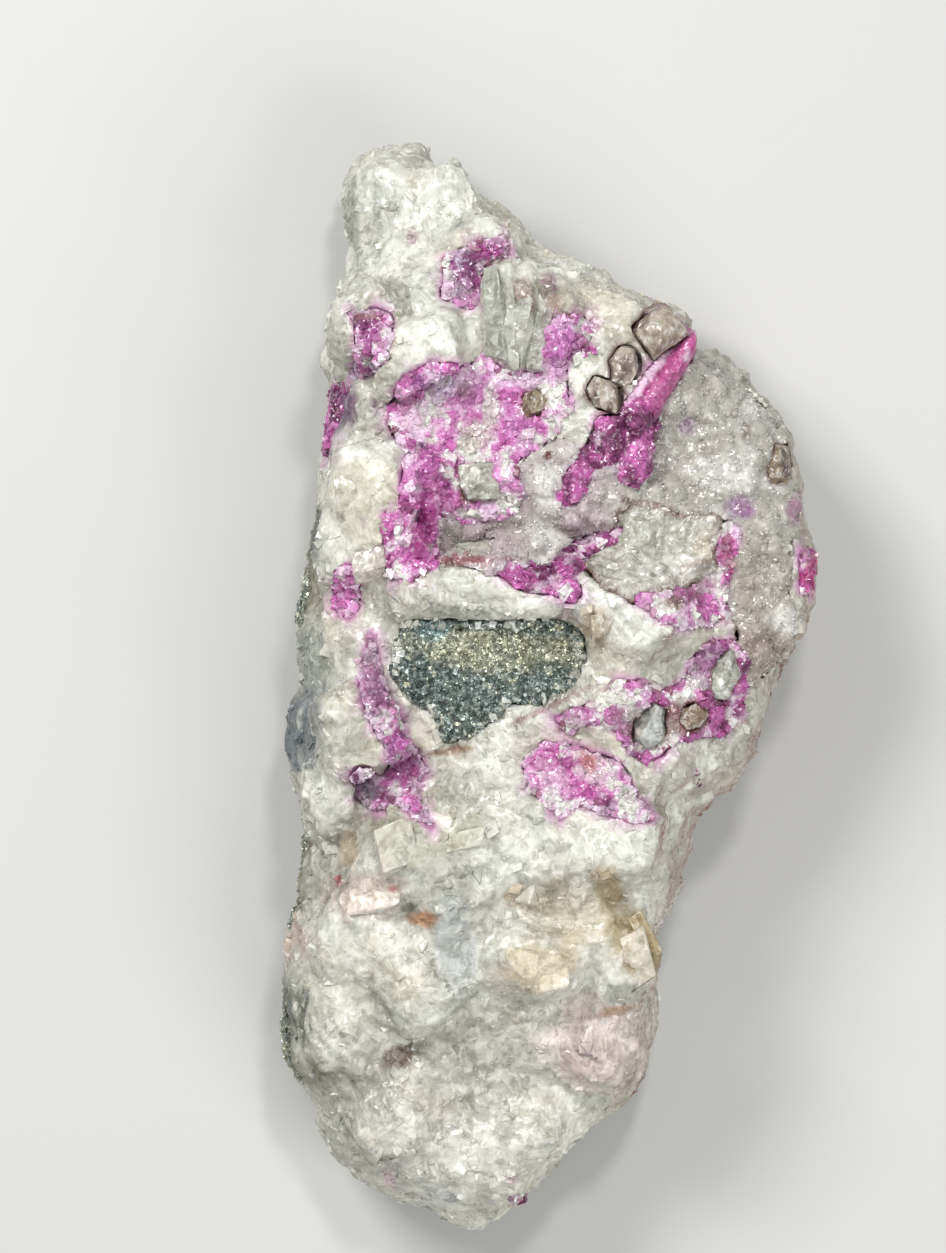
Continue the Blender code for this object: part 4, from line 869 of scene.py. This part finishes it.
for place, half, turn in MAGENTA_SPOTS:
    places, ways_out = strewn(matrix_points, matrix_faces, SPOT_RHOMBS, draws)
    kept = (zone(places, place, half, turn, 290) > 0.5) & (ways_out[:, 2] > 0.25)
    places, ways_out = places[kept], ways_out[kept]
    shades = 0.7 + 0.35 * draws.random(len(places))
    gathered.append((places, ways_out, cobalt_tones(places, "spot", shades)))
places, ways_out, tones = (np.concatenate(part) for part in zip(*gathered))
edge = np.clip(0.4 * np.exp(draws.normal(size=len(places)) * 0.4), 0.22, 1.1)
sizes = edge[:, None] * (0.7 + 0.6 * draws.random((len(places), 3)))
places = places - ways_out * (edge * 0.3)[:, None]
turns = standing(ways_out, 0.5, draws)
rhombs, rhomb_tones = joined_crystals("magenta_rhombs", RHOMBS, places, turns, sizes, tones)
settle(rhombs, [], rhomb_tones, cobalt_material, sharp=None)

# Quartz druse
# A crust of quartz points under a millimetre long on round lumps, grown in the central hollow and the
# right-hand basin after the calcite. It is clear to smoky, and looks grey-lilac with a sparkle.

DRUSE_VOXEL = 0.35
DRUSE_GROWTH = 0.42
QUARTZ_POINTS = 3.6
DRUSE_GREY = linear("#bdb9b0")
DRUSE_LILAC = linear("#c3b4b8")
DRUSE_WARM = linear("#b2ab9e")
DRUSE_WHITE = linear("#eceae5")
DRUSE_DARK = linear("#a59c98")
DRUSE_STAINS = [
    ("purple patch in the basin", "#85517f", (14.2, 26.3), (1.1, 0.9), 25, 0.9),
    ("purple patch by the loop", "#8f4f8b", (19.6, 18.3), (1.7, 1.3), -20, 0.9),
    ("cream lump beside it", "#cfcbb9", (21.9, 17.4), (1.2, 1.6), 0, 0.7),
    ("pink by the rim", "#a4688f", (25.0, 18.0), (1.0, 1.4), 0, 0.7),
    ("red-brown dot", "#6f3b38", (0.3, 23.2), (0.5, 0.5), 0, 0.95),
    ("brown slit", "#6d5648", (20.0, 25.6), (0.5, 1.2), -14, 0.9),
    ("white part of the rim", "#e0dfd8", (25.6, 14.6), (1.4, 1.2), 0, 0.7),
    ("brown lower rim", "#97857a", (22.0, 3.6), (2.8, 3.4), 0, 0.6),
    ("red-brown line along the crest", "#8f5358", (-8.0, 12.8), (5.4, 0.45), 2, 0.9),
    ("red-brown fold", "#8a5560", (1.2, 12.6), (0.5, 1.2), 0, 0.7),
    ("smoky right basin", "#a39b8c", (20.4, 11.2), (2.0, 4.6), 0, 0.55),
    ("smoky upper basin", "#a9a69e", (17.5, 23.5), (7.4, 7.4), 0, 0.4),
    ("brown line over the window", "#6b4a44", (10.4, 18.2), (3.4, 0.4), -14, 0.9),
    ("brown line left of the window", "#75504a", (7.3, 16.6), (0.4, 1.6), 0, 0.8),
    ("white lumps in the basin", "#e6e4de", (17.6, 21.4), (3.4, 2.0), -10, 0.6),
    ("white lumps by the network", "#e2e0da", (3.6, 23.6), (1.8, 2.2), 0, 0.6),
    ("white wall round the rim crystal", "#e8e6df", (22.6, 20.4), (1.6, 0.8), -30, 0.8),
]


def druse_tones(points, shade):
    cloud = soft_noise(points, 3.4, 71) + 0.5 * soft_noise(points, 1.2, 72)
    hollow = np.clip((9.0 - points[:, 0]) / 6.0, 0, 1)
    basin = np.clip((16.0 - points[:, 1]) / 6.0, 0, 1) * (1 - hollow)
    tones = towards(all_one(DRUSE_GREY, points), DRUSE_LILAC, (0.5 + 0.8 * cloud) * hollow)
    tones = towards(tones, DRUSE_WARM, (0.5 + 0.5 * cloud) * basin)
    tones = towards(tones, DRUSE_WHITE, -cloud * 1.3 - 0.25)
    tones = towards(tones, DRUSE_DARK, soft_noise(points, 1.6, 73) - 0.45)
    tones = stained(tones, points, DRUSE_STAINS, 160)
    tones = towards(tones, PINK_STAIN, (1 - far_from(cobalt_tree, points, 2.0) / 0.7) * 0.5)
    tones = towards(tones, CONTACT_BROWN, (1 - far_from(socket_tree, points, 1.5) / 0.6) * 1.3)
    return tones * shade[:, None]


def round_lumps(points, cell, seed):
    """Height of round lumps about one cell across."""
    best = np.zeros(len(points))
    for row, away in around(points, cell, seed):
        radius = cell * (0.4 + 0.3 * LIFT[row])
        best = np.maximum(best, np.sqrt(np.maximum(radius ** 2 - (away ** 2).sum(axis=1), 0)))
    return best - best.mean()


def quartz_point():
    """A six-sided prism with a six-sided point."""
    bm = bmesh.new()
    bmesh.ops.create_cone(bm, cap_ends=True, segments=6, radius1=0.5, radius2=0.5, depth=1.0)
    cap = max(bm.faces, key=lambda face: face.calc_center_median().z)
    tip = bmesh.ops.poke(bm, faces=[cap])["verts"][0]
    tip.co.z += 0.55
    return shape_of(bm)


def sparkling_quartz():
    """Quartz points: glassy and nearly colourless, so the crust shows through, and each face sparkles."""
    material, tree, metric, tone = material_tree("sparkling_quartz")
    cloud = add(tree, "ShaderNodeTexNoise", {"Scale": 1.6, "Detail": 7.0, "Roughness": 0.68},
                {"Vector": metric}).outputs["Fac"]
    colour = blended(tree, ramp(tree, cloud, 0.38, 0.55), scaled(tree, tone, (0.84, 0.83, 0.82)), tone)
    colour = blended(tree, ramp(tree, cloud, 0.58, 0.7, 0.0, 0.6), colour, linear("#e9e7e3"))
    surface = add(tree, "ShaderNodeBsdfPrincipled", {
        "IOR": 1.55, "Roughness": 0.2, "Transmission Weight": 0.08, "Subsurface Weight": 0.5,
        "Subsurface Radius": (1.0, 0.97, 0.95), "Subsurface Scale": 0.9 * MM,
    }, {"Base Color": colour, "Normal": facets(tree, metric, 0.5, 0.24, 0.24)})
    finish_material(tree, surface)
    return material


quartz_material = sparkling_quartz()
druse = fine_skin("druse_crust", "quartz_druse", DRUSE_VOXEL, DRUSE_GROWTH)
points = points_of(druse.data)
lumps = 0.55 * round_lumps(points, 2.2, 19) + 0.25 * round_lumps(points, 0.9, 20)
displaced(druse, np.clip(lumps, -0.5, 0.7))
points, faces = points_of(druse.data), triangles_of(druse.data)
settle(druse, ["quartz_druse"], druse_tones(points, np.full(len(points), 0.95)), quartz_material)
draws = np.random.default_rng(25)
places, ways_out = strewn(points, faces, QUARTZ_POINTS, draws)
kept = open_to_air(places, ways_out) & (far_from(socket_tree, places, 2.0) > 0.4)
places, ways_out = places[kept], ways_out[kept]
width = np.clip(0.25 * np.exp(draws.normal(size=len(places)) * 0.42), 0.14, 0.7)
places = places - ways_out * (width * 0.42)[:, None]
turns = standing(ways_out, 0.55, draws)
sizes = width[:, None] * np.array((1, 1, 1.1))
tones = druse_tones(places, 0.93 + 0.14 * draws.random(len(places)))
quartz, quartz_tones = joined_crystals("druse_points", [quartz_point()], places, turns, sizes, tones)
settle(quartz, [], quartz_tones, quartz_material, sharp=None)

# Sulphide patches
# Intergrown metallic sulphides, brassy yellow above and steel to teal grey below, in grains of half a
# millimetre. The main patch fills a break in the mass, and three smaller ones lie along the left flank.

ORE_VOXEL = 0.3
ORE_GROWTH = 0.24
ORE_GRAIN_DENSITY = 8.0
SULPHIDE_STEEL = linear("#8f9a95")
SULPHIDE_DARK = linear("#5c6864")
SULPHIDE_BRASS = linear("#b9b99f")
SULPHIDE_PALE = linear("#e2e0c6")
BRASS_BAND = ((-4.4, 4.0), (9.6, 2.2))
PALE_SPOT = ((-11.0, 5.9), (1.9, 1.4))


def sulphide_tones(points, main, draws):
    """Grain by grain: brass in its band, steel and teal-grey elsewhere, and a few bright grains."""
    mix = LIFT[grain_of(points, 0.4, 81)] + 0.1 * draws.random(len(points))
    tones = towards(all_one(SULPHIDE_STEEL, points), SULPHIDE_DARK, (mix - 0.35) * 2.2)
    if main:
        brass = zone(points, *BRASS_BAND, -3, 82) + 0.25 * soft_noise(points, 1.0, 84)
    else:
        brass = 0.55 + 0.6 * soft_noise(points, 1.5, 85)
    tones = towards(tones, SULPHIDE_BRASS, brass * (0.55 + 0.35 * (mix < 0.62)))
    tones = towards(tones, SULPHIDE_PALE, (0.14 - mix) * 12)
    if main:
        tones = towards(tones, linear("#93a9a8"), zone(points, *PALE_SPOT, 0, 86) * 0.8)
    return tones


def granular_sulphide():
    """Sulphide ore, broken: metallic grains with a satin to mirror face each, dark between them."""
    material, tree, metric, tone = material_tree("granular_sulphide")
    cloud = add(tree, "ShaderNodeTexNoise", {"Scale": 2.4, "Detail": 5.0, "Roughness": 0.6},
                {"Vector": metric}).outputs["Fac"]
    surface = add(tree, "ShaderNodeBsdfPrincipled", {"Metallic": 0.65}, {
        "Base Color": tone, "Roughness": ramp(tree, cloud, 0.35, 0.65, 0.25, 0.55),
        "Normal": facets(tree, metric, 0.42, 0.22, 0.75),
    })
    finish_material(tree, surface)
    return material


def ore_grain(chips):
    """A blocky metallic grain: a cube with corners broken off."""
    bm = bmesh.new()
    bmesh.ops.create_cube(bm, size=1.0)
    for corner in chips:
        chip_off(bm, Vector(corner), 0.6)
    return shape_of(bm)


ORE_GRAINS = [ore_grain(((0.5, 0.5, 0.5),)), ore_grain(((0.5, -0.5, 0.5), (-0.5, 0.5, 0.5)))]
sulphide_material = granular_sulphide()
draws = np.random.default_rng(27)
gathered = []
for node in SULPHIDE_NODES:
    patch = fine_skin(node.replace("sulphide", "ore"), node, ORE_VOXEL, ORE_GROWTH)
    points = points_of(patch.data)
    rough = 0.35 * cleavage_steps(points, 1.6, 3.0, 27) + 0.15 * soft_noise(points, 0.6, 28)
    displaced(patch, np.clip(rough, -0.5, 0.4))
    points, faces = points_of(patch.data), triangles_of(patch.data)
    main = node == "sulphide_main"
    places, ways_out = strewn(points, faces, ORE_GRAIN_DENSITY, draws)
    kept = open_to_air(places, ways_out)
    places, ways_out = places[kept], ways_out[kept]
    gathered.append((places, ways_out, sulphide_tones(places, main, draws)))
    if main:
        over_edges.append(grains_over_edge(patch, 0.8, 3.6, edge_draws))
    settle(patch, [node], sulphide_tones(points, main, draws) * 0.7, sulphide_material)
places, ways_out, tones = (np.concatenate(part) for part in zip(*gathered))
edge = np.clip(0.28 * np.exp(draws.normal(size=len(places)) * 0.35), 0.16, 0.6)
sizes = edge[:, None] * (0.8 + 0.4 * draws.random((len(places), 3)))
places = places - ways_out * (edge * 0.2)[:, None]
turns = random_turns(len(places), draws)
grains, grain_tones = joined_crystals("ore_grains", ORE_GRAINS, places, turns, sizes, tones)
settle(grains, [], grain_tones, sulphide_material, sharp=None)

# Grains of the white calcite that lie over the edges of the crusts and of the main sulphide patch
places, ways_out = (np.concatenate(part) for part in zip(*over_edges))
edge = np.clip(0.5 * np.exp(edge_draws.normal(size=len(places)) * 0.35), 0.28, 0.9)
sizes = edge[:, None] * (0.7 + 0.7 * edge_draws.random((len(places), 3)))
places = places - ways_out * (sizes[:, 2] * 0.3)[:, None]
tones = calcite_tones(places, ways_out, 0.85 + 0.2 * edge_draws.random(len(places)))
turns = standing(ways_out, 0.3, edge_draws)
border, border_tones = joined_crystals("calcite_chips_edges", SHARDS, places, turns, sizes, tones)
settle(border, [], border_tones, calcite_material, sharp=None)

# Clear crystals in sockets
# Tan to brown and grey-green calcite prisms of 2 to 5 mm, each in a socket of the mass, translucent and
# glassy, with streaks inside that catch the light. The grey window is a larger clear patch of the same.

WINDOW_VOXEL = 0.25
WINDOW_GROWTH = 0.42
CRYSTAL_GROWTH = 0.5
NETWORK_CRYSTAL_GROWTH = 0.65
WORN_EDGE = 0.06
# Corners broken off each socket crystal, and the cuts along each edge that give its colours points to lie on
BREAKS = 6
TONE_STEPS = 9
# The streaks inside a crystal are longer along y than across
STREAKED = (2.0, 0.7, 1.0)
CRYSTAL_GLINT = linear("#dcd5c8")
# For each solid: colour, darker colour of its depths
CLEAR_LOOKS = {
    "tan_crystal_upper_right": ("#c6bba8", "#a08f7b"),
    "tan_crystal_socket_left": ("#d0c6b4", "#6b4a3e"),
    "tan_crystal_socket_right": ("#c6b9a8", "#5c3f38"),
    "tan_crystal_network": ("#ab9a7f", "#7f6a52"),
    "tan_crystal_right_loops": ("#9c8470", "#6c5143"),
    "tan_crystal_right_rim": ("#a08c74", "#584234"),
    "grey_crystal_network": ("#d3d5ca", "#b1b4a5"),
    "grey_crystal_loop_upper": ("#c6cabf", "#9a9f93"),
    "grey_crystal_loop_lower": ("#c3c6c1", "#8d9290"),
    "grey_calcite_window": ("#d2d0c5", "#b0ab9e"),
}
# Crystals that show singly on the mass: colour, place, size across, along and out, turn about the view, lean
SINGLE_CRYSTALS = [
    ("clear vertical prism", "#bcc0b4", (-5.2, 36.8), (2.4, 8.6, 2.0), 2, (2, 6)),
    ("prism beside it", "#c0c2b8", (-2.9, 35.0), (2.2, 7.0, 2.4), -5, (6, -10)),
    ("prism at the right", "#a8aa9c", (-0.9, 34.2), (1.6, 5.6, 2.0), -8, (4, 12)),
    ("white prism", "#d5d6cc", (-3.9, 32.6), (2.6, 3.0, 2.0), 8, (-8, 5)),
    ("tan lens", "#ab9a8a", (-2.0, 39.2), (1.9, 4.0, 1.6), 10, (0, -14)),
    ("second tan lens", "#ad9c8b", (0.8, 38.0), (1.8, 3.6, 1.6), -18, (0, 12)),
    ("lilac-white crinkled crystal", "#dcd0de", (-10.4, 29.7), (2.6, 3.0, 2.0), 20, (12, 8)),
    ("brown-pink grain", "#9a7480", (-8.0, 29.5), (1.5, 1.6, 1.4), 30, (5, -12)),
    ("white grain in the network", "#dfe0d8", (-6.2, 27.2), (2.4, 2.8, 1.8), -14, (10, 6)),
    ("second white grain", "#d9dad1", (-8.4, 24.8), (2.4, 2.4, 1.8), 24, (-8, 10)),
    ("round white grain", "#ecece8", (2.2, 31.2), (1.0, 1.0, 0.9), 0, (0, 0)),
    ("cream plate", "#dcd8c4", (-18.6, 19.6), (4.4, 6.0, 2.2), 12, (4, -8)),
    ("cream plate beside it", "#d6d1bb", (-15.6, 17.4), (2.6, 7.2, 2.2), -6, (-4, 10)),
    ("lower cream block", "#e0dccb", (-17.4, 13.0), (3.6, 3.2, 2.2), 18, (-10, 4)),
    ("pale facet", "#bdbaa9", (-14.6, -15.2), (3.8, 4.2, 2.0), 24, (8, -8)),
    ("second pale facet", "#b9b7a6", (-10.6, -13.0), (3.2, 3.0, 2.0), -20, (-6, 12)),
    ("olive facet", "#b9b79f", (-8.0, -14.6), (3.6, 1.8, 1.6), 12, (10, 0)),
    ("tan wedge", "#b39d7f", (-19.5, -16.0), (1.8, 3.8, 1.8), 14, (6, 14)),
    ("pink-grey plate", "#c5b3aa", (-17.0, -20.4), (5.4, 2.8, 1.6), 14, (-8, 4)),
    ("rust-orange grain", "#b98a68", (-11.9, -22.5), (2.4, 1.2, 1.2), 6, (4, 4)),
    ("tan grain", "#b8a588", (-2.4, -19.8), (2.8, 2.4, 1.8), -10, (6, 8)),
    ("tan-brown prism", "#ab9779", (6.4, -19.4), (2.2, 3.8, 2.0), 14, (0, -12)),
    ("amber block", "#a8946c", (8.8, -26.6), (3.6, 5.2, 2.6), 22, (4, -10)),
    ("amber sliver", "#a38c62", (10.0, -24.4), (1.6, 4.6, 1.6), 34, (6, -4)),
    ("orange-tan block", "#cdbf9f", (-2.6, -27.2), (4.0, 3.6, 2.0), -12, (8, 4)),
    ("orange-tan block beside it", "#cbb998", (0.8, -28.0), (3.2, 3.2, 2.0), 16, (-6, -8)),
    ("white wedge", "#e6e6de", (-0.4, -31.6), (4.4, 1.6, 1.4), -6, (-12, 0)),
    ("peach grain", "#cfc0a8", (5.4, 6.4), (2.2, 2.4, 1.8), 12, (6, 6)),
    ("cream prism right of the window", "#c9c2ae", (15.8, 14.6), (1.8, 3.2, 1.8), -20, (4, 10)),
    ("banded oval", "#b69f98", (16.0, 10.6), (3.2, 2.4, 1.6), 10, (0, 6)),
    ("white lump right", "#dedfd8", (17.0, 7.4), (3.0, 1.8, 1.8), 6, (6, -4)),
    ("brown grain", "#8c7160", (12.8, 8.8), (1.8, 1.4, 1.2), 0, (4, 6)),
    ("second brown grain", "#94806d", (18.0, -2.4), (1.8, 1.8, 1.4), 22, (-6, 4)),
    ("teal-grey lump", "#a3aca8", (12.4, 2.2), (3.4, 2.8, 1.8), 18, (6, 8)),
]
WINDOW_STAINS = [
    ("grey-white lower left", "#e3e2d9", (6.8, 12.0), (3.6, 2.2), -30, 0.7),
    ("green-grey heart", "#c0c2b1", (11.0, 15.6), (4.4, 2.2), -14, 0.7),
    ("cream prism", "#d2cab4", (15.8, 14.6), (1.2, 2.2), -24, 0.7),
    ("white flecks low down", "#ebe9e3", (11.8, 12.0), (3.6, 1.5), 6, 0.8),
    ("brown below the prism", "#a08973", (15.0, 12.6), (1.8, 0.4), 14, 0.6),
]
WINDOW = "grey_calcite_window"
beside_window = tree_of([name for name in NODES if name != WINDOW])


def clear_calcite():
    """Clear calcite: it lets some light through, and has milky borders and streaks, and glassy facets."""
    material, tree, metric, tone = material_tree("clear_calcite")
    border, which = interlocked(tree, metric, {"Scale": 0.8, "Detail": 3.0}, 1.4, 0.75, 0.6)
    settings = {"Scale": 1.2, "Detail": 8.0, "Roughness": 0.66, "Distortion": 0.4}
    cloud = add(tree, "ShaderNodeTexNoise", settings, {"Vector": metric}).outputs["Fac"]
    colour = blended(tree, ramp(tree, cloud, 0.4, 0.58), scaled(tree, tone, (0.66, 0.64, 0.6)), tone)
    veil = add(tree, "ShaderNodeMath", {"operation": "MULTIPLY"}, {
        0: ramp(tree, border, 0.045, 0.0, 0.0, 0.7), 1: ramp(tree, cloud, 0.5, 0.62),
    }).outputs[0]
    colour = blended(tree, veil, colour, linear("#eceee8"))
    streak = ramp(tree, fibres(tree, metric, which), 0.54, 0.66, 0.0, 0.8)
    colour = blended(tree, streak, colour, linear("#e9e8e0"))
    surface = add(tree, "ShaderNodeBsdfPrincipled", {
        "IOR": 1.62, "Roughness": 0.26, "Transmission Weight": 0.22, "Subsurface Weight": 0.25,
        "Subsurface Radius": (1.0, 0.95, 0.85), "Subsurface Scale": 0.8 * MM,
    }, {"Base Color": colour, "Normal": facets(tree, metric, 1.3, 0.5, 0.5)})
    finish_material(tree, surface)
    return material


def edges_worn(bm, width):
    bmesh.ops.bevel(bm, geom=bm.edges[:], offset=width, offset_type="OFFSET", segments=1, affect="EDGES")


def worn_rhomb(draws, chips, width):
    """A calcite rhomb with corners broken off at odd angles and slightly worn edges."""
    bm = broken_rhomb(draws, chips, slants=(0.2, 0.12, 0.16), nearest=0.4, depths=(0.5, 0.8))
    edges_worn(bm, width)
    return shape_of(bm)


def crisp_crystal(name, node, grow):
    """A socket crystal's own flat faces, with worn edges, and points enough to carry its colours."""
    bm = solid_of(node)
    bmesh.ops.dissolve_limit(bm, angle_limit=math.radians(4), verts=bm.verts, edges=bm.edges)
    middle = sum((vert.co for vert in bm.verts), Vector()) / len(bm.verts)
    for vert in bm.verts:
        vert.co += (vert.co - middle).normalized() * grow - middle
    for way in break_draws.normal(size=(BREAKS, 3)):
        way = Vector((way[0], way[1], abs(way[2]))).normalized()
        reach = max(vert.co.dot(way) for vert in bm.verts)
        chip_off(bm, way * reach, break_draws.uniform(0.74, 0.92))
    bmesh.ops.translate(bm, vec=middle, verts=bm.verts)
    edges_worn(bm, WORN_EDGE)
    bmesh.ops.triangulate(bm, faces=bm.faces)
    bmesh.ops.subdivide_edges(bm, edges=bm.edges[:], cuts=TONE_STEPS, use_grid_fill=True)
    bmesh.ops.triangulate(bm, faces=bm.faces)
    bmesh.ops.recalc_face_normals(bm, faces=bm.faces)
    return in_scene(name, bm)


clear_material = clear_calcite()
break_draws = np.random.default_rng(35)
for node in sorted(CLEAR_LOOKS):
    window = node == WINDOW
    if window:
        crystal = fine_skin("clear_window", node, WINDOW_VOXEL, WINDOW_GROWTH)
        displaced(crystal, np.clip(0.5 * cleavage_steps(points_of(crystal.data), 1.9, 6.0, 35), -0.4, 0.4))
    else:
        grow = NETWORK_CRYSTAL_GROWTH if node == "grey_crystal_network" else CRYSTAL_GROWTH
        crystal = crisp_crystal(node.replace("crystal", "prism"), node, grow)
        ridges = cleavage_steps(points_of(crystal.data), 1.5, 30.0, 35)
        displaced(crystal, np.clip(0.3 * ridges, -0.12, 0.05))
    points = points_of(crystal.data)
    code, deep_code = CLEAR_LOOKS[node]
    streaks = soft_noise(points * np.array(STREAKED), 1.3, 91) + 0.5 * soft_noise(points, 0.6, 92)
    tones = towards(all_one(linear(code), points), linear(deep_code), 0.25 + streaks)
    tones = towards(tones, CRYSTAL_GLINT, (-streaks - 0.5) * 1.6)
    if window:
        tones = stained(tones, points, WINDOW_STAINS, 300)
        border = 1.0 - (far_from(beside_window, points, 2.0) - 0.4) / 0.7
        tones = towards(tones, CONTACT_BROWN, border * np.clip(0.6 + soft_noise(points, 1.6, 93), 0, 1))
    else:
        tones = towards(tones, CONTACT_BROWN, (points[:, 2].max() - points[:, 2] - 1.8) / 1.6)
    slot = "tan_crystal" if node.startswith("tan") else "grey_crystal"
    settle(crystal, [node], tones, clear_material, sharp=None)

# Single crystals of the mass
# Larger crystals that show whole where the rock broke round them, sunk in it to a third or more of their
# thickness. Those above the line y = LOWEST_CLEAR are clear; those below it are tinted blocks of the mass.

LOWEST_CLEAR = -8.0
# How much of its own colour a crystal shows; the rest is that of the rock round it
CLEAR_OWN_SHARE = 0.55
TINTED_OWN_SHARE = 0.2
SINGLE_EDGE_ANGLE = math.radians(24)
places, sizes, turns, tones = [], [], [], []
for _, code, (x, y), (across, along, out), turn, (lean_x, lean_y) in SINGLE_CRYSTALS:
    ground, way_out, _, _ = all_tree.ray_cast(Vector((x, y, 80)), Vector((0, 0, -1)))
    laid = Vector((0, 0, 1)).rotation_difference(way_out * 0.7 + Vector((0, 0, 0.3))).to_matrix()
    places.append(ground - laid.col[2] * out * (0.36 if y > LOWEST_CLEAR else 0.42))
    sizes.append((across, along, out))
    spin = Matrix.Rotation(math.radians(turn), 3, "Z")
    lean = Matrix.Rotation(math.radians(lean_x), 3, "X") @ Matrix.Rotation(math.radians(lean_y), 3, "Y")
    turns.append(laid @ spin @ lean)
    tones.append(linear(code))
places = np.array(places)
sizes, turns, tones = np.array(sizes), np.array(turns), np.array(tones)
WORN_RHOMBS = [worn_rhomb(SHARD_DRAWS, 4, 0.03 + 0.01 * i) for i in range(7)]
above = places[:, 1] > LOWEST_CLEAR
for rows, title, slot, material, own_share in (
    (above, "single_crystals", "grey_crystal", clear_material, CLEAR_OWN_SHARE),
    (~above, "tinted_blocks", "calcite", calcite_material, TINTED_OWN_SHARE),
):
    singles, own_tones = joined_crystals(title, WORN_RHOMBS, places[rows], turns[rows], sizes[rows],
                                         tones[rows])
    points = points_of(singles.data)
    around_them = calcite_tones(points, normals_of(singles.data), np.ones(len(points)))
    mixed = towards(around_them, own_tones, np.full(len(points), own_share))
    settle(singles, [], mixed, material, sharp=SINGLE_EDGE_ANGLE)

# Floor, lights and camera
# A plain pale table, a soft light from the upper left, a weaker one from the lower right, a small one for
# the glints, and a camera straight above that takes in the photograph's frame, 94.6 by 125.3 mm.

FRAME_CENTRE = (-7.1, 6.35)
FRAME_HEIGHT = 125.3
CAMERA_RISE = 700.0
SENSOR = 36.0
FACE_LEVEL = 16.0
TABLE_HALF = 600.0
TABLE_DROP = 0.02

bm = bmesh.new()
bmesh.ops.create_grid(bm, x_segments=1, y_segments=1, size=TABLE_HALF * MM)
bmesh.ops.translate(bm, vec=(0, 0, -TABLE_DROP * MM), verts=bm.verts)
floor = in_scene("table", bm)
paint, tree, _, _ = material_tree("pale_table")
finish_material(tree, add(tree, "ShaderNodeBsdfPrincipled", {
    "Base Color": (*linear("#c2c1be"), 1), "Roughness": 0.7, "IOR": 1.4,
}))
floor.data.materials.append(paint)

world = bpy.data.worlds.new("studio")
world.use_nodes = True
world.node_tree.nodes["Background"].inputs["Color"].default_value = (0.93, 0.96, 1.0, 1)
world.node_tree.nodes["Background"].inputs["Strength"].default_value = 0.36
bpy.context.scene.world = world
bpy.context.scene.view_settings.view_transform = "Standard"


def area_light(name, place, size, power, colour=(1, 1, 1)):
    """A soft square light, aimed at the middle of the specimen."""
    light = bpy.data.lights.new(name, "AREA")
    light.energy, light.size, light.color = power, size * MM, colour
    obj = in_scene(name, light)
    obj.location = Vector(place) * MM
    aim = Vector((0, 0, 15.0)) - Vector(place)
    obj.rotation_euler = aim.to_track_quat("-Z", "Y").to_euler()


area_light("key", (-260.0, 260.0, 420.0), 180.0, 2.3)
area_light("fill", (220.0, -260.0, 380.0), 320.0, 1.3)
area_light("glints", (60.0, 240.0, 500.0), 50.0, 0.9)

camera = bpy.data.cameras.new("camera")
camera.sensor_fit = "VERTICAL"
camera.sensor_height = SENSOR
camera.lens = SENSOR * CAMERA_RISE / FRAME_HEIGHT
view = in_scene("camera", camera)
view.location = Vector((*FRAME_CENTRE, CAMERA_RISE + FACE_LEVEL)) * MM
bpy.context.scene.camera = view
